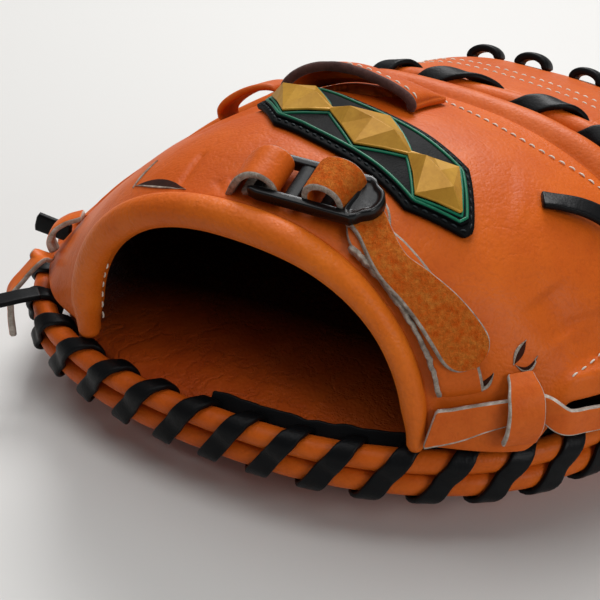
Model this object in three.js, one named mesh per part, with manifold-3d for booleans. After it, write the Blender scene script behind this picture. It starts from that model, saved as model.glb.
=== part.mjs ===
// A leather catcher's mitt lying palm down, in millimetres, +Z up.
// +X points to the thumb side, +Y to the fingertips, and the wrist opening faces -Y.
// The origin is on the surface the mitt lies on, below the middle of its outline.
import * as THREE from "three";
import Module from "manifold-3d";
import { mergeVertices } from "three/addons/utils/BufferGeometryUtils.js";

const wasm = await Module();
wasm.setup();

const DEG = Math.PI / 180;
const GAP = 0.35; // clearance between two pieces that touch
const SEAT = 0.45; // clearance under a piece laid on the curved hand back

// Driving dimensions
const OUTLINE = { halfWidth: 125, halfLength: 124, squareness: 2.15 };
const OUTLINE_SWELLS = [
  { at: 90 * DEG, by: -2, width: 60 * DEG },
  { at: 222 * DEG, by: 4, width: 16 * DEG },
  { at: 270 * DEG, by: -6.5, width: 28 * DEG },
  { at: 304 * DEG, by: -5, width: 22 * DEG },
  { at: 335 * DEG, by: -10, width: 18 * DEG },
];
const LEATHER = 2.6; // wall of the hand-back leather
const LINING = 2.0; // wall of the pile lining
const LACE = { width: 7, thick: 2.2 };
const SEAM_Z = 26; // height of the seam between pad and rim
const WEB = { from: 16 * DEG, to: 62 * DEG, fade: 7 * DEG, notch: 0.33 };
const HEEL = { from: -158 * DEG, to: -20 * DEG, fade: 1.5 * DEG, setback: 13.4 };
const ROLL = { wide: 7.6, high: 7.4, inset: 5.2, upperZ: 27.9, lowerZ: 20.2, stop: 2.6 * DEG };
const RIM = {
  thumb: -20 * DEG,
  finger: 202 * DEG,
  bulge: 7,
  roof: 5,
  pull: 0.35,
  slackFrom: 88 * DEG,
  slackOver: 35 * DEG,
  fullClimb: 60, // height at which the bulge is whole
};
const BINDING = { thick: 11, panelStart: 0.07, liningStart: 0.08 };
const KNUCKLE_PAD = { thick: 6.5, puff: 4 };
const WELT = { wide: 8.2, high: 8, lift: -1.5, channel: 8 };

// Spacing of the columns round the mitt, in degrees
const COLUMNS = [
  { from: -158, to: -156.5, count: 1 },
  { from: -156.5, to: -21.5, count: 24 },
  { from: -21.5, to: -20, count: 1 },
  { from: -20, to: 16, count: 6 },
  { from: 16, to: 23, count: 3 },
  { from: 23, to: 55, count: 5 },
  { from: 55, to: 62, count: 3 },
  { from: 62, to: 202, count: 21 },
];

// Padded palm: share of the outline radius and height, from the pocket's middle out and back
const PAD_UNDERSIDE = [
  { reach: 0, z: 38 },
  { reach: 0.22, z: 36.5 },
  { reach: 0.44, z: 29 },
  { reach: 0.62, z: 9 },
  { reach: 0.72, z: 0 },
  { reach: 0.86, z: 0 },
  { reach: 0.95, z: 5 },
  { reach: 1, z: 14 },
];
const PAD_TOP = [
  { reach: 1, z: SEAM_Z - 3 },
  { reach: 0.98, z: SEAM_Z },
  { reach: 0.88, z: 29.5 },
  { reach: 0.6, z: 37 },
  { reach: 0, z: 46 },
];

// Hand back from the wrist edge (along = 0) to the knuckle seam (along = 1), one arch a row.
// fullFinger and fullThumb say how full the arch is on each side of its crown, and
// flatFinger how wide its crown is level towards the little finger.
const BACK_ARCHES = [
  {
    along: 0, halfFinger: 59.5, halfThumb: 59.5,
    footY: -101, footZ: 36, crownY: -105, crownZ: 93.5,
    fullFinger: 2.25, fullThumb: 2.35, flatFinger: 0, lean: 1,
  },
  {
    along: 0.3, halfFinger: 84, halfThumb: 84,
    footY: -90, footZ: 36.4, crownY: -76, crownZ: 104,
    fullFinger: 1.5, fullThumb: 2.3, flatFinger: 18, lean: 1,
  },
  {
    along: 0.62, halfFinger: 101, halfThumb: 102,
    footY: -70, footZ: 37, crownY: -40, crownZ: 107,
    fullFinger: 1.25, fullThumb: 2.25, flatFinger: 18, lean: 1,
  },
  {
    along: 1, halfFinger: 106, halfThumb: 111,
    footY: -46, footZ: 38, crownY: -5, crownZ: 100,
    fullFinger: 1.22, fullThumb: 2.25, flatFinger: 18, lean: 0.9,
  },
];
const ARCH_KEYS = Object.keys(BACK_ARCHES[0]).slice(1);
// Middle line of the laced welt between the knuckle pad and the rim
const WELT_ARCH = {
  halfFinger: 109.5, halfThumb: 116,
  footY: -38, footZ: 36, crownY: 15, crownZ: 97,
  fullFinger: 1.2, fullThumb: 2.6, flatFinger: 18, lean: 0.7,
};
const COLUMNS_ACROSS = 32; // columns of the hand back from foot to foot
const VENT = { rise: 15, from: 0.34, to: 0.84, side: 0.86 };

const finish = (color, roughness, metalness = 0) =>
  new THREE.MeshStandardMaterial({ color, roughness, metalness });
const ORANGE = finish(0xd9641c, 0.5);
const LIGHT_ORANGE = finish(0xe07a2c, 0.5);
const LINER = finish(0xb5501c, 0.6);
const SUEDE = finish(0xc9661a, 0.95);
const PILE = finish(0x141416, 0.95);
const BLACK_LACE = finish(0x17191c, 0.55);
const BROWN = finish(0x4a2c25, 0.8);
const BUCKLE_PLASTIC = finish(0x1b1d1f, 0.45);
const BADGE_BLACK = finish(0x131518, 0.6);
const BADGE_GREEN = finish(0x0b7a55, 0.45);
const BADGE_GOLD = finish(0xd2a14a, 0.35, 0.6);

const mitt = new THREE.Group();

// Small helpers
const vec = (x, y, z) => new THREE.Vector3(x, y, z);
const mix = (a, b, s) => a + (b - a) * s;
const clamp01 = (x) => Math.min(1, Math.max(0, x));
const smooth = (x) => clamp01(x) ** 2 * (3 - 2 * clamp01(x));
const spread = (from, to, n) => Array.from({ length: n + 1 }, (_, i) => mix(from, to, i / n));

// One column of a table read at x, as a smooth curve through the rows
function curve(rows, at, key, x) {
  let i = 0;
  while (i < rows.length - 2 && x > rows[i + 1][at]) i++;
  const slope = (a, b) => (b[key] - a[key]) / (b[at] - a[at]);
  const [p, q] = [rows[i], rows[i + 1]];
  const here = slope(p, q);
  const before = i > 0 ? (slope(rows[i - 1], p) + here) / 2 : here;
  const after = i < rows.length - 2 ? (here + slope(q, rows[i + 2])) / 2 : here;
  const h = q[at] - p[at];
  const s = (x - p[at]) / h;
  const pull = before * h * s * (1 - s) ** 2 + after * h * s * s * (s - 1);
  return p[key] * (1 + 2 * s) * (1 - s) ** 2 + q[key] * s * s * (3 - 2 * s) + pull;
}

// A closed mesh from vertices and triangles
function meshGeometry(points, triangles) {
  const g = new THREE.BufferGeometry();
  const flat = points.flatMap((p) => [p.x, p.y, p.z]);
  g.setAttribute("position", new THREE.Float32BufferAttribute(flat, 3));
  g.setIndex(triangles.flat());
  return g;
}

// The geometry with its triangles turned round if its volume is negative
function facingOut(g) {
  const p = g.getAttribute("position");
  const t = g.index.array;
  const corner = (i) => vec(p.getX(t[i]), p.getY(t[i]), p.getZ(t[i]));
  let volume = 0;
  for (let i = 0; i < t.length; i += 3) volume += corner(i).dot(corner(i + 1).cross(corner(i + 2)));
  if (volume < 0) for (let i = 0; i < t.length; i += 3) [t[i + 1], t[i + 2]] = [t[i + 2], t[i + 1]];
  return g;
}

// A solid through closed loops of points, its two ends closed by fans
function loft(loops) {
  const n = loops[0].length;
  const points = loops.flat();
  const triangles = [];
  for (let i = 0; i < loops.length - 1; i++)
    for (let j = 0; j < n; j++) {
      const [a, b] = [i * n + j, i * n + ((j + 1) % n)];
      triangles.push([a, b, b + n], [a, b + n, a + n]);
    }
  for (const first of [0, (loops.length - 1) * n])
    for (let j = 1; j < n - 1; j++)
      triangles.push(first ? [first, first + j, first + j + 1] : [0, j + 1, j]);
  return facingOut(meshGeometry(points, triangles));
}

// A wall between two grids of points with the same rows and columns
function wall(upper, lower) {
  const [rows, cols] = [upper.length, upper[0].length];
  const points = [...upper.flat(), ...lower.flat()];
  const top = (i, j) => i * cols + j;
  const low = (i, j) => (rows + i) * cols + j;
  const triangles = [];
  const quad = (a, b, c, d) => triangles.push([a, b, c], [a, c, d]);
  for (let i = 0; i < rows - 1; i++)
    for (let j = 0; j < cols - 1; j++) {
      quad(top(i, j), top(i, j + 1), top(i + 1, j + 1), top(i + 1, j));
      quad(low(i, j), low(i + 1, j), low(i + 1, j + 1), low(i, j + 1));
    }
  const [r, c] = [rows - 1, cols - 1];
  for (let i = 0; i < r; i++) {
    quad(top(i, 0), top(i + 1, 0), low(i + 1, 0), low(i, 0));
    quad(top(i, c), low(i, c), low(i + 1, c), top(i + 1, c));
  }
  for (let j = 0; j < c; j++) {
    quad(top(0, j + 1), top(0, j), low(0, j), low(0, j + 1));
    quad(top(r, j), top(r, j + 1), low(r, j + 1), low(r, j));
  }
  return facingOut(meshGeometry(points, triangles));
}

// To a manifold solid and back, for cuts
function toSolid(geometry) {
  const bare = new THREE.BufferGeometry();
  bare.setAttribute("position", geometry.getAttribute("position"));
  bare.setIndex(geometry.index);
  const merged = mergeVertices(bare, 1e-4);
  const vertProperties = new Float32Array(merged.getAttribute("position").array);
  const triVerts = new Uint32Array(merged.index.array);
  return new wasm.Manifold(new wasm.Mesh({ numProp: 3, vertProperties, triVerts }));
}
function toGeometry(solid) {
  const m = solid.getMesh();
  const g = new THREE.BufferGeometry();
  const flat = [];
  for (let i = 0; i < m.numVert; i++)
    flat.push(...m.vertProperties.subarray(i * m.numProp, i * m.numProp + 3));
  g.setAttribute("position", new THREE.Float32BufferAttribute(flat, 3));
  g.setIndex(new THREE.BufferAttribute(new Uint32Array(m.triVerts), 1));
  return g;
}
const cut = (geometry, ...tools) =>
  toGeometry(tools.reduce((s, t) => s.subtract(toSolid(t)), toSolid(geometry)));

function add(name, geometry, material) {
  geometry.computeVertexNormals();
  const mesh = new THREE.Mesh(geometry, material);
  mesh.name = name;
  mitt.add(mesh);
}

// Outline of the mitt seen from above: a rounded square with swells, notched at the web
const turned = (angle) => ((angle % (2 * Math.PI)) + 2 * Math.PI) % (2 * Math.PI);
const wrapped = (angle) => (turned(angle) > Math.PI ? turned(angle) - 2 * Math.PI : turned(angle));
function outlineRadius(angle) {
  const { halfWidth, halfLength, squareness } = OUTLINE;
  const c = Math.abs(Math.cos(angle) / halfWidth) ** squareness;
  const s = Math.abs(Math.sin(angle) / halfLength) ** squareness;
  const swell = (w) => w.by * Math.exp(-(((turned(angle) - w.at) / w.width) ** 2));
  return (c + s) ** (-1 / squareness) + OUTLINE_SWELLS.reduce((sum, w) => sum + swell(w), 0);
}
const within = (angle, zone) =>
  smooth((wrapped(angle) - zone.from) / zone.fade) * smooth((zone.to - wrapped(angle)) / zone.fade);
const edgeRadius = (angle) => outlineRadius(angle) * (1 - WEB.notch * within(angle, WEB));
const padRadius = (angle) => edgeRadius(angle) - HEEL.setback * within(angle, HEEL);
const around = (angle, radius, z) => vec(radius * Math.cos(angle), radius * Math.sin(angle), z);
const outward = (angle) => around(angle, 1, 0);
const columnAngles = COLUMNS.flatMap((row) =>
  spread(row.from * DEG, row.to * DEG, row.count).slice(0, -1),
);

// Upper side of the pad at a share of its radius, straight between the rows
function padTopZ(reach) {
  const i = PAD_TOP.findIndex((row, k) => k > 0 && reach >= row.reach);
  const [p, q] = [PAD_TOP[i - 1], PAD_TOP[i]];
  return mix(p.z, q.z, (p.reach - reach) / (p.reach - q.reach));
}

// A point on an arch: across = 0 at the little-finger foot, 1 at the thumb foot
function archPoint(arch, across) {
  const t = Math.PI * clamp01(across);
  const [c, s] = [Math.cos(t), Math.max(0, Math.sin(t))];
  const full = mix(arch.fullFinger, arch.fullThumb, smooth((across - 0.4) / 0.2));
  const flat = c > 0 ? arch.flatFinger : 0;
  const half = c > 0 ? arch.halfFinger : arch.halfThumb;
  return vec(
    -(half - flat) * Math.sign(c) * Math.abs(c) ** (2 / full) - flat * (1 - (1 - c) ** 3),
    mix(arch.footY, arch.crownY, s ** arch.lean),
    mix(arch.footZ, arch.crownZ, s ** (2 / full)),
  );
}
function backPoint(across, along) {
  const arch = {};
  for (const key of ARCH_KEYS) arch[key] = curve(BACK_ARCHES, "along", key, along);
  const p = archPoint(arch, across);
  const opening = smooth((along - VENT.from) * 6) * smooth((VENT.to - along) * 6);
  p.z += VENT.rise * opening * smooth((across - VENT.side) / (1 - VENT.side)) ** 2;
  return p;
}
function backNormal(across, along) {
  const d = 0.01;
  const u = Math.min(0.98, Math.max(0.02, across));
  const alongU = backPoint(u + d, along).sub(backPoint(u - d, along));
  const alongV = backPoint(u, along + d).sub(backPoint(u, along - d));
  return alongU.cross(alongV).normalize();
}
const onBack = (across, along, lift) =>
  backPoint(across, along).addScaledVector(backNormal(across, along), lift);
const backGrid = (acrosses, alongs, lift) =>
  alongs.map((v) => acrosses.map((u) => onBack(u, v, lift)));

// Direction of a path at each of its points
const headings = (path) =>
  path.map((_, i) =>
    path[Math.min(path.length - 1, i + 1)].clone().sub(path[Math.max(0, i - 1)]).normalize(),
  );

// A flat band of leather along a path; sides gives the direction of its width at each point
function band(path, sides, width, thick, taper = () => 1) {
  const along = headings(path);
  return loft(
    path.map((p, i) => {
      const side = sides[i].clone().addScaledVector(along[i], -sides[i].dot(along[i])).normalize();
      const up = side.clone().cross(along[i]);
      const half = (width / 2) * taper(i / (path.length - 1));
      const corner = (a, b) =>
        p.clone().addScaledVector(side, a * half).addScaledVector(up, (b * thick) / 2);
      return [corner(-1, -1), corner(1, -1), corner(1, 1), corner(-1, 1)];
    }),
  );
}

// An oval roll along a path; outs gives the direction of its wide axis
function roll(path, outs, wide, high, sides = 7) {
  const along = headings(path);
  return loft(
    path.map((p, i) => {
      const out = outs[i].clone().addScaledVector(along[i], -outs[i].dot(along[i])).normalize();
      const up = along[i].clone().cross(out);
      return spread(0, 2 * Math.PI, sides).slice(0, -1).map((a) =>
        p
          .clone()
          .addScaledVector(out, (wide * Math.cos(a)) / 2)
          .addScaledVector(up, (high * Math.sin(a)) / 2),
      );
    }),
  );
}

// A lace wound round a path; frame(s) gives its centre, out and up at share s of the path
function woundLace(frame, lace) {
  const point = (q) => {
    const turn = Math.floor(q);
    const f = q - turn;
    const front = lace.frontShare;
    const advance = f < 0.5 ? 2 * f * front : front + (2 * f - 1) * (1 - front);
    const angle = (2 * f - 0.5) * Math.PI;
    const at = frame((turn + advance) / lace.turns);
    const [c, s] = [Math.cos(angle), Math.sin(angle)];
    const p = at.centre.clone().addScaledVector(at.out, c * lace.out).addScaledVector(at.up, s * lace.up);
    const n = at.out.clone().multiplyScalar(c / lace.out).addScaledVector(at.up, s / lace.up);
    return { p, n: n.normalize() };
  };
  const line = spread(0, lace.turns - 1e-4, Math.round(lace.turns * lace.steps)).map(point);
  const path = line.map((l) => l.p);
  const sides = headings(path).map((along, i) => along.clone().cross(line[i].n));
  return band(path, sides, LACE.width, LACE.thick);
}

// Palm pad: rings of the two tables, closed at the middle of the pocket and of the top
function palmPad() {
  const rings = [...PAD_UNDERSIDE.slice(1), ...PAD_TOP.slice(0, -1)];
  const n = columnAngles.length;
  const points = rings.flatMap((row) =>
    columnAngles.map((a) => around(a, row.reach * padRadius(a), row.z)),
  );
  const triangles = [];
  for (let i = 0; i < rings.length - 1; i++)
    for (let j = 0; j < n; j++) {
      const [a, b] = [i * n + j, i * n + ((j + 1) % n)];
      triangles.push([a, b, b + n], [a, b + n, a + n]);
    }
  points.push(vec(0, 0, PAD_UNDERSIDE[0].z), vec(0, 0, PAD_TOP.at(-1).z));
  const lastRing = (rings.length - 1) * n;
  for (let j = 0; j < n; j++) {
    const k = (j + 1) % n;
    triangles.push([k, j, points.length - 2], [lastRing + j, lastRing + k, points.length - 1]);
  }
  return facingOut(meshGeometry(points, triangles));
}

// The two heel rolls and the lace wound round both
const heelPoint = (angle, z) => around(angle, outlineRadius(angle) - ROLL.inset, z);
function heelRoll(z) {
  const angles = spread(HEEL.from + ROLL.stop, HEEL.to - ROLL.stop, 27);
  return roll(angles.map((a) => heelPoint(a, z)), angles.map(outward), ROLL.wide, ROLL.high);
}
const HEEL_LACE = { turns: 15, steps: 8, frontShare: 0.94, out: 6.8, up: 10.6 };
function heelLace() {
  const [from, to] = [HEEL.from + 2 * ROLL.stop, HEEL.to - 2 * ROLL.stop];
  const middle = (ROLL.upperZ + ROLL.lowerZ) / 2;
  const frame = (s) => {
    const angle = mix(from, to, s);
    return { centre: heelPoint(angle, middle), out: outward(angle), up: vec(0, 0, 1) };
  };
  return woundLace(frame, HEEL_LACE);
}

// Rolled edge of the wrist opening
function wristBinding() {
  const acrosses = spread(0, 1, COLUMNS_ACROSS);
  const path = acrosses.map((u) => backPoint(u, 0));
  const outs = acrosses.map((u) => backNormal(u, 0.02));
  return roll(path, outs, BINDING.thick, BINDING.thick, 8);
}

// Share across of a column angle, for the arches that meet the rim
const acrossOf = (angle) => (RIM.finger - angle) / (RIM.finger - RIM.thumb);
const rimAngles = columnAngles.filter((a) => a >= RIM.thumb - 1e-9).concat(RIM.finger);
function weltFrame(across) {
  const centre = archPoint(WELT_ARCH, across);
  const toward = centre.clone().sub(backPoint(across, 1));
  toward.z = 0;
  const d = 0.005;
  const u = Math.min(1 - d, Math.max(d, across));
  const line = archPoint(WELT_ARCH, u + d).sub(archPoint(WELT_ARCH, u - d)).normalize();
  const out = toward.addScaledVector(line, -toward.dot(line)).normalize();
  const up = line.clone().cross(out);
  return { centre: centre.addScaledVector(up, WELT.lift), out, up };
}

// Puffed band between the knuckle seam and the welt
function knucklePad(from, to, count) {
  const acrosses = spread(from, to, count);
  const shares = [0, 0.3, 0.7, 1];
  const grid = (depth) =>
    shares.map((w) =>
      acrosses.map((u) => {
        const seam = backPoint(u, 1).lerp(backPoint(u, 0.98), -0.3);
        const welt = weltFrame(u);
        const far = welt.centre.clone().addScaledVector(welt.out, -WELT.channel);
        const puff = depth ? -depth : KNUCKLE_PAD.puff * (1 - (2 * w - 1) ** 2);
        return seam.lerp(far, w).addScaledVector(welt.up, puff);
      }),
    );
  return wall(grid(0), grid(KNUCKLE_PAD.thick));
}

// One section of the padded rim, from the pad's seam over to the welt.
// wallShare is its thickness at the foot as a share of the radius, and lower and upper
// are the heights of its two middle points, which sink where the rim is slack.
const RIM_SHARES = [0, 0.1, 0.24, 0.42, 0.62, 0.82, 1];
const RIM_WALL = { ends: 0.09, lobes: 0.2, crotch: 0.11 };
const RIM_OUTSIDE = { lower: 0.58, lowerSlack: 0.08, drop: 0.1, dropSlack: 0.14 };
const RIM_INSIDE = { lower: 0.48, lowerSlack: 0.1, drop: 0.2, dropSlack: 0.12 };
function rimSection(angle, inner) {
  const welt = weltFrame(acrossOf(angle));
  const notch = within(angle, WEB);
  const ends = smooth(Math.min(angle - RIM.thumb, RIM.finger - angle) / RIM.pull);
  const form = inner ? RIM_INSIDE : RIM_OUTSIDE;
  const wallReach = 1 - mix(RIM_WALL.ends, mix(RIM_WALL.lobes, RIM_WALL.crotch, notch), ends);
  const radius = edgeRadius(angle);
  const foot = inner
    ? around(angle, radius * wallReach, padTopZ(wallReach) + GAP)
    : around(angle, radius, SEAM_Z + GAP);
  const top = welt.centre.clone().addScaledVector(welt.out, WELT.channel);
  if (inner) top.addScaledVector(welt.up, -RIM.roof);
  const climb = top.z - foot.z;
  const slack = smooth((angle - RIM.slackFrom) / RIM.slackOver);
  const bulge = inner ? 0 : RIM.bulge * (1 - 0.85 * notch) * clamp01(climb / RIM.fullClimb);
  const lower = foot.clone().addScaledVector(outward(angle), bulge);
  lower.z += climb * (form.lower - form.lowerSlack * slack);
  const upper = top.clone().lerp(foot, 0.5);
  upper.z = top.z - climb * (form.drop + form.dropSlack * slack);
  return RIM_SHARES.map((s) => {
    const r = 1 - s;
    const p = foot.clone().multiplyScalar(r ** 3).addScaledVector(lower, 3 * r * r * s);
    return p.addScaledVector(upper, 3 * r * s * s).addScaledVector(top, s ** 3);
  });
}
function rim(from, to) {
  const nudge = 0.08 * DEG;
  const angles = rimAngles.filter((a) => a >= from - 1e-9 && a <= to + 1e-9);
  angles[0] += nudge;
  angles[angles.length - 1] -= nudge;
  const grid = (inner) => {
    const sections = angles.map((a) => rimSection(a, inner));
    return RIM_SHARES.map((_, i) => sections.map((s) => s[i]));
  };
  return wall(grid(false), grid(true));
}

// Welt between knuckle pad and rim, and the lace wound round it
function weltRoll(from, to, count) {
  const frames = spread(from, to, count).map(weltFrame);
  return roll(frames.map((f) => f.centre), frames.map((f) => f.out), WELT.wide, WELT.high);
}
const WELT_LACE = { turns: 9, steps: 8, frontShare: 0.7, out: 6.3, up: 6.1 };
function weltLace(from, to) {
  const frame = (s) => {
    const f = weltFrame(mix(from, to, s));
    return { centre: f.centre, out: f.up, up: f.out };
  };
  return woundLace(frame, WELT_LACE);
}

// Web between the thumb and finger lobes, on the level of the seam
const WEB_PANEL = { z: 19.5, thick: 3, inset: 1.4, outer: 0.985, arch: 4 };
function webPanel() {
  const margin = 2 * DEG;
  const angles = columnAngles.filter((a) => a > WEB.from + margin && a < WEB.to - margin);
  const grid = (z) =>
    [0, 0.35, 0.7, 1].map((s) =>
      angles.map((a) => {
        const near = edgeRadius(a) + WEB_PANEL.inset;
        const far = Math.max(near + 1, outlineRadius(a) * WEB_PANEL.outer);
        return around(a, mix(near, far, s), z + WEB_PANEL.arch * Math.sin(Math.PI * s));
      }),
    );
  return wall(grid(WEB_PANEL.z + WEB_PANEL.thick), grid(WEB_PANEL.z));
}

// Buckle: a ladder with a nose, in a frame of its own (x along the strap, z up)
const BUCKLE = { origin: vec(14.7, -92, 104.7), left: -12.5, half: 8.5, inner: 6.7, high: 4.2 };
const BUCKLE_BARS = { top: -0.6, bottom: -2.6, noseFrom: 18.7 };
const BUCKLE_SLOTS = [
  { from: -8.5, to: -2.5 },
  { from: 2.5, to: 8.7 },
  { from: 12.7, to: BUCKLE_BARS.noseFrom },
];
const BUCKLE_NOSE = [
  { x: 17.5, y: 8.5 },
  { x: 20.5, y: 7.3 },
  { x: 24, y: 4 },
  { x: 25.6, y: 0 },
];
const buckleFrame = (() => {
  const x = vec(0.995, 0.09, -0.047).normalize();
  const y = vec(-0.068, 0.934, 0.35);
  y.addScaledVector(x, -y.dot(x)).normalize();
  return { x, y, z: x.clone().cross(y) };
})();
const atBuckle = (x, z) =>
  BUCKLE.origin.clone().addScaledVector(buckleFrame.x, x).addScaledVector(buckleFrame.z, z);
function buckle() {
  const { left, half, inner, high } = BUCKLE;
  const prism = (corners, low, top) => loft([low, top].map((z) => corners.map((c) => vec(c.x, c.y, z))));
  const block = (from, to, low, top, side = inner) => {
    const corners = [vec(from, -side), vec(to, -side), vec(to, side), vec(from, side)];
    return prism(corners, low, top);
  };
  const nose = BUCKLE_NOSE.map((c) => vec(c.x, -c.y)).concat(BUCKLE_NOSE.slice(0, -1).reverse());
  const outline = [vec(left + 1, -half), ...nose, vec(left + 1, half)];
  outline.push(vec(left, half - 1), vec(left, 1 - half));
  const under = block(left - 1, BUCKLE_BARS.noseFrom, -high - 1, BUCKLE_BARS.bottom);
  const underNose = block(BUCKLE_BARS.noseFrom - 1, 30, -high - 1, BUCKLE_BARS.bottom, half + 1);
  const over = block(left - 1, BUCKLE_BARS.noseFrom, BUCKLE_BARS.top, 1);
  const slots = BUCKLE_SLOTS.map((slot) => block(slot.from, slot.to, -high - 1, 1));
  const { x, y, z } = buckleFrame;
  const pose = new THREE.Matrix4().makeBasis(x, y, z).setPosition(BUCKLE.origin);
  return cut(prism(outline, -high, 0), under, underNose, over, ...slots).applyMatrix4(pose);
}

// Strap and tab routes: places on the hand back, or x and z in the buckle's frame
const STRAP = { width: 12.6, thick: 2, slitRows: 3, hole: 0.5 };
const STRAP_ROUTE = [
  { across: 0.95, along: 0.15, lift: -5.6 },
  { across: 0.938, along: 0.148, lift: -3 },
  { across: 0.922, along: 0.146, lift: -0.3 },
  { across: 0.9, along: 0.144, lift: 1.55 },
  { across: 0.86, along: 0.14, lift: 1.6 },
  { across: 0.82, along: 0.134, lift: 1.6 },
  { across: 0.78, along: 0.132, lift: 1.6 },
  { across: 0.74, along: 0.132, lift: 1.6 },
  { across: 0.7, along: 0.134, lift: 1.6 },
  { across: 0.66, along: 0.138, lift: 1.7 },
  { x: 20, z: -6.2 },
  { x: 14, z: -5.5 },
  { x: 9, z: -4.7 },
  { x: 5.8, z: -3.2 },
  { x: 4.6, z: 0 },
  { x: 5.4, z: 3.2 },
  { x: 8.2, z: 5.2 },
  { x: 11.6, z: 5.3 },
  { x: 14.8, z: 3.6 },
  { x: 16.1, z: 0.8 },
  { x: 16.2, z: -1.8 },
  { x: 17.9, z: -4 },
  { x: 22, z: -4.5 },
  { across: 0.68, along: 0.155, lift: 4.3 },
  { across: 0.72, along: 0.157, lift: 4.3 },
  { across: 0.76, along: 0.162, lift: 4.2 },
  { across: 0.8, along: 0.172, lift: 4.2 },
  { across: 0.84, along: 0.19, lift: 4.1 },
  { across: 0.868, along: 0.207, lift: 3.9 },
  { across: 0.884, along: 0.22, lift: 3.8 },
];
const TAB_ROUTE = [
  { x: -25, z: -14 },
  { x: -23, z: -11 },
  { x: -21.4, z: -7.8 },
  { x: -19.3, z: -3.6 },
  { x: -16.6, z: 0.2 },
  { x: -13, z: 2.9 },
  { x: -9.6, z: 3.4 },
  { x: -6.6, z: 1.8 },
  { x: -5.6, z: -1 },
  { x: -6.4, z: -3.2 },
  { x: -9, z: -4.1 },
  { x: -13, z: -4.4 },
  { x: -16.2, z: -5.2 },
];
const place = (row) => ("x" in row ? atBuckle(row.x, row.z) : onBack(row.across, row.along, row.lift));
function widthAt(row) {
  if ("x" in row) return buckleFrame.y;
  return backPoint(row.across, row.along + 0.05).sub(backPoint(row.across, row.along - 0.05));
}
const laidBand = (route, width, thick, taper) =>
  band(route.map(place), route.map(widthAt), width, thick, taper);
const roundTip = (s) => (s > 0.999 ? 0.45 : s > 0.96 ? 0.85 : 1);
const slitFor = (route) =>
  laidBand(route.slice(0, STRAP.slitRows + 1), STRAP.width + 2 * STRAP.hole, STRAP.thick + 2 * STRAP.hole);

// Badge: a long hexagon laid on the hand back, with a coloured border and faceted lozenges
const BADGE = {
  from: { across: 0.395, along: 0.55 },
  to: { across: 0.72, along: 0.35 },
  half: 0.115,
  taper: 2.1,
};
function badgePoint(s, t, lift) {
  const share = (s + 1) / 2;
  const across = mix(BADGE.from.across, BADGE.to.across, share);
  const along = mix(BADGE.from.along, BADGE.to.along, share);
  return onBack(across, along + t * BADGE.half, lift);
}
const hexHalf = (s) => Math.min(1, (1 - Math.abs(s)) * BADGE.taper + 0.12);
function badgePlate(inset, low, high) {
  const ss = spread(-1 + inset, 1 - inset, 12);
  const grid = (lift) =>
    [-1, 0, 1].map((t) => ss.map((s) => badgePoint(s, t * (hexHalf(s) - inset * 2.2), lift)));
  return wall(grid(high), grid(low));
}
const LOZENGE = { half: 0.27, wide: 0.62, base: 3.5, edge: 4.4, ridge: 8 };
function lozenge(middle) {
  const grid = (raised) =>
    [-1, 0, 1].map((t) =>
      [-1, -0.5, 0, 0.5, 1].map((s) => {
        const width = LOZENGE.wide * Math.max(0.06, 1 - Math.abs(s));
        const top = t === 0 && Math.abs(s) < 1 ? LOZENGE.ridge : LOZENGE.edge;
        return badgePoint(middle + s * LOZENGE.half, t * width, raised ? top : LOZENGE.base);
      }),
    );
  return wall(grid(true), grid(false));
}

// Hood over the index-finger hole, open to the wrist, and the small open loop beside it
const FINGER_HOOD = {
  from: { across: 0.4, along: 0.68 },
  to: { across: 0.555, along: 0.68 },
  depth: 0.2,
  rise: 6.4,
  closed: true,
  wall: 2.2,
};
const SIDE_LOOP = {
  from: { across: 0.305, along: 0.72 },
  to: { across: 0.365, along: 0.79 },
  depth: 0.12,
  rise: 4.5,
  closed: false,
  wall: 2.4,
};
const EDGING = { wide: 3.2, deep: 3, ahead: 0.02 };
function hoodPoint(hood, angle, back, lift) {
  const share = (1 - Math.cos(angle)) / 2;
  const across = mix(hood.from.across, hood.to.across, share);
  const along = mix(hood.from.along, hood.to.along, share) + back * hood.depth;
  const fall = hood.closed ? Math.cos((Math.max(0, back) * Math.PI) / 2) ** 0.8 : 1;
  return onBack(across, along, lift + hood.rise * Math.sin(angle) ** 0.85 * fall);
}
function hoodShell(hood, backs, columns) {
  const grid = (lift) =>
    backs.map((b) => spread(0, Math.PI, columns).map((a) => hoodPoint(hood, a, b, lift)));
  return wall(grid(SEAT + hood.wall), grid(SEAT));
}
function hoodEdging() {
  const angles = spread(0, Math.PI, 12);
  const ahead = -EDGING.ahead / FINGER_HOOD.depth;
  const path = angles.map((a) => hoodPoint(FINGER_HOOD, a, ahead, SEAT + EDGING.wide / 2));
  const sides = angles.map(() => backPoint(0.47, 0.75).sub(backPoint(0.47, 0.6)));
  return band(path, sides, EDGING.deep, EDGING.wide);
}
const FINGER_HOLE = { halfWide: 14, halfLong: 7.5, turn: 4 * DEG, share: 0.4 };
function fingerHole() {
  const { from, to, depth } = FINGER_HOOD;
  const across = (from.across + to.across) / 2;
  const middle = backPoint(across, from.along + depth * FINGER_HOLE.share);
  const hole = new THREE.CylinderGeometry(1, 1, 60, 12);
  hole.deleteAttribute("normal");
  hole.deleteAttribute("uv");
  hole.rotateX(Math.PI / 2);
  hole.scale(FINGER_HOLE.halfWide, FINGER_HOLE.halfLong, 1);
  hole.rotateZ(FINGER_HOLE.turn);
  hole.translate(middle.x, middle.y, middle.z);
  return hole;
}

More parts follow.
